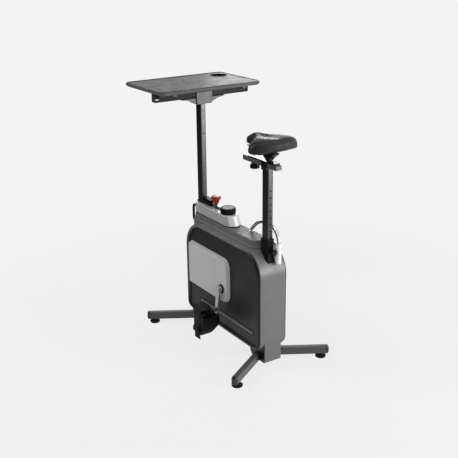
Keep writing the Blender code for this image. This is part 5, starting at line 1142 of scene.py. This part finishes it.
# pedals: studs on the tread, teeth on the strap's tail
treadLook = {"rows": 3, "columns": 5, "endRoom": 0.14, "sideRoom": 0.22, "stud": 0.0021, "high": 0.0014,
             "sunk": 0.0003, "above": 0.0002, "deepest": 0.012}
toothLook = {"count": 9, "first": 0.004, "pitch": 0.0035, "long": 0.030, "wide": 0.0013, "round": 0.0005,
             "high": 0.0009, "soften": 0.0002, "sunk": 0.0003, "outside": 0.30, "deepest": 0.0040}


def studForm(look):
    wide, high = look["stud"], look["high"]
    return latheFrom("studForm", [(0, 0), (wide, 0), (wide * 0.85, high * 0.7), (wide * 0.55, high),
                                  (wide * 0.40, high), (wide * 0.35, high * 0.6), (0, high * 0.6)], 16)


def studTread(word, stud, look):
    low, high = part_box(word + "_pedal")
    name = word + "TreadStuds"
    studs = []
    for row in range(look["rows"]):
        for column in range(look["columns"]):
            along = look["endRoom"] + (1 - 2 * look["endRoom"]) * column / (look["columns"] - 1)
            across = look["sideRoom"] + (1 - 2 * look["sideRoom"]) * row / (look["rows"] - 1)
            start = (low[0] + (high[0] - low[0]) * along, low[1] + (high[1] - low[1]) * across,
                     high[2] + look["above"])
            place, normal = surfaceSpot(shells[word + "_pedal"], start, (0, 0, -1))
            if place is not None and normal.z >= 0.6 and place.z >= high[2] - look["deepest"]:
                studs.append(copyPiece(stud, name, alongNormal(place - normal * look["sunk"], normal)))
    finishPiece(joinPieces(studs, name), word + "_pedal_body", "blackPlastic")
    return len(studs)


def toothStrap(word, side, tooth, look):
    low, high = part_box(word + "_strap")
    name = word + "StrapTeeth"
    teeth = []
    for step in range(look["count"]):
        level = low[2] + look["first"] + step * look["pitch"]
        start = ((low[0] + high[0]) / 2, side * look["outside"], level)
        place, normal = surfaceSpot(shells[word + "_strap"], start, (0, -side, 0))
        outermost = max(abs(low[1]), abs(high[1]))
        if place is None or abs(normal.y) < 0.7 or abs(place.y) > outermost - look["deepest"]:
            continue
        place = place - normal * look["sunk"]
        turn = Matrix(((1, 0, 0, place.x), (0, 0, side, place.y), (0, 1, 0, place.z), (0, 0, 0, 1)))
        teeth.append(copyPiece(tooth, name, turn))
        if side > 0:
            teeth[-1].data.flip_normals()
    finishPiece(joinPieces(teeth, name), word + "_pedal_body", "strapRubber")
    return len(teeth)


def dressPedals():
    stud = studForm(treadLook)
    outline = roundedOutline(toothLook["long"], toothLook["wide"], toothLook["round"], 3)
    tooth = plateFrom("toothForm", outline, toothLook["high"], toothLook["soften"])
    for word, side in hands:
        studs = studTread(word, stud, treadLook)
        print(word, "pedal: studs", studs, "teeth", toothStrap(word, side, tooth, toothLook))
    dropPiece(stud)
    dropPiece(tooth)


dressPedals()

addCamera(cameraView)
for lampLook in lamps:
    addLamp(lampLook)
addBackdrop(studio)
addFloor(studio)
scene.view_settings.view_transform = "Standard"
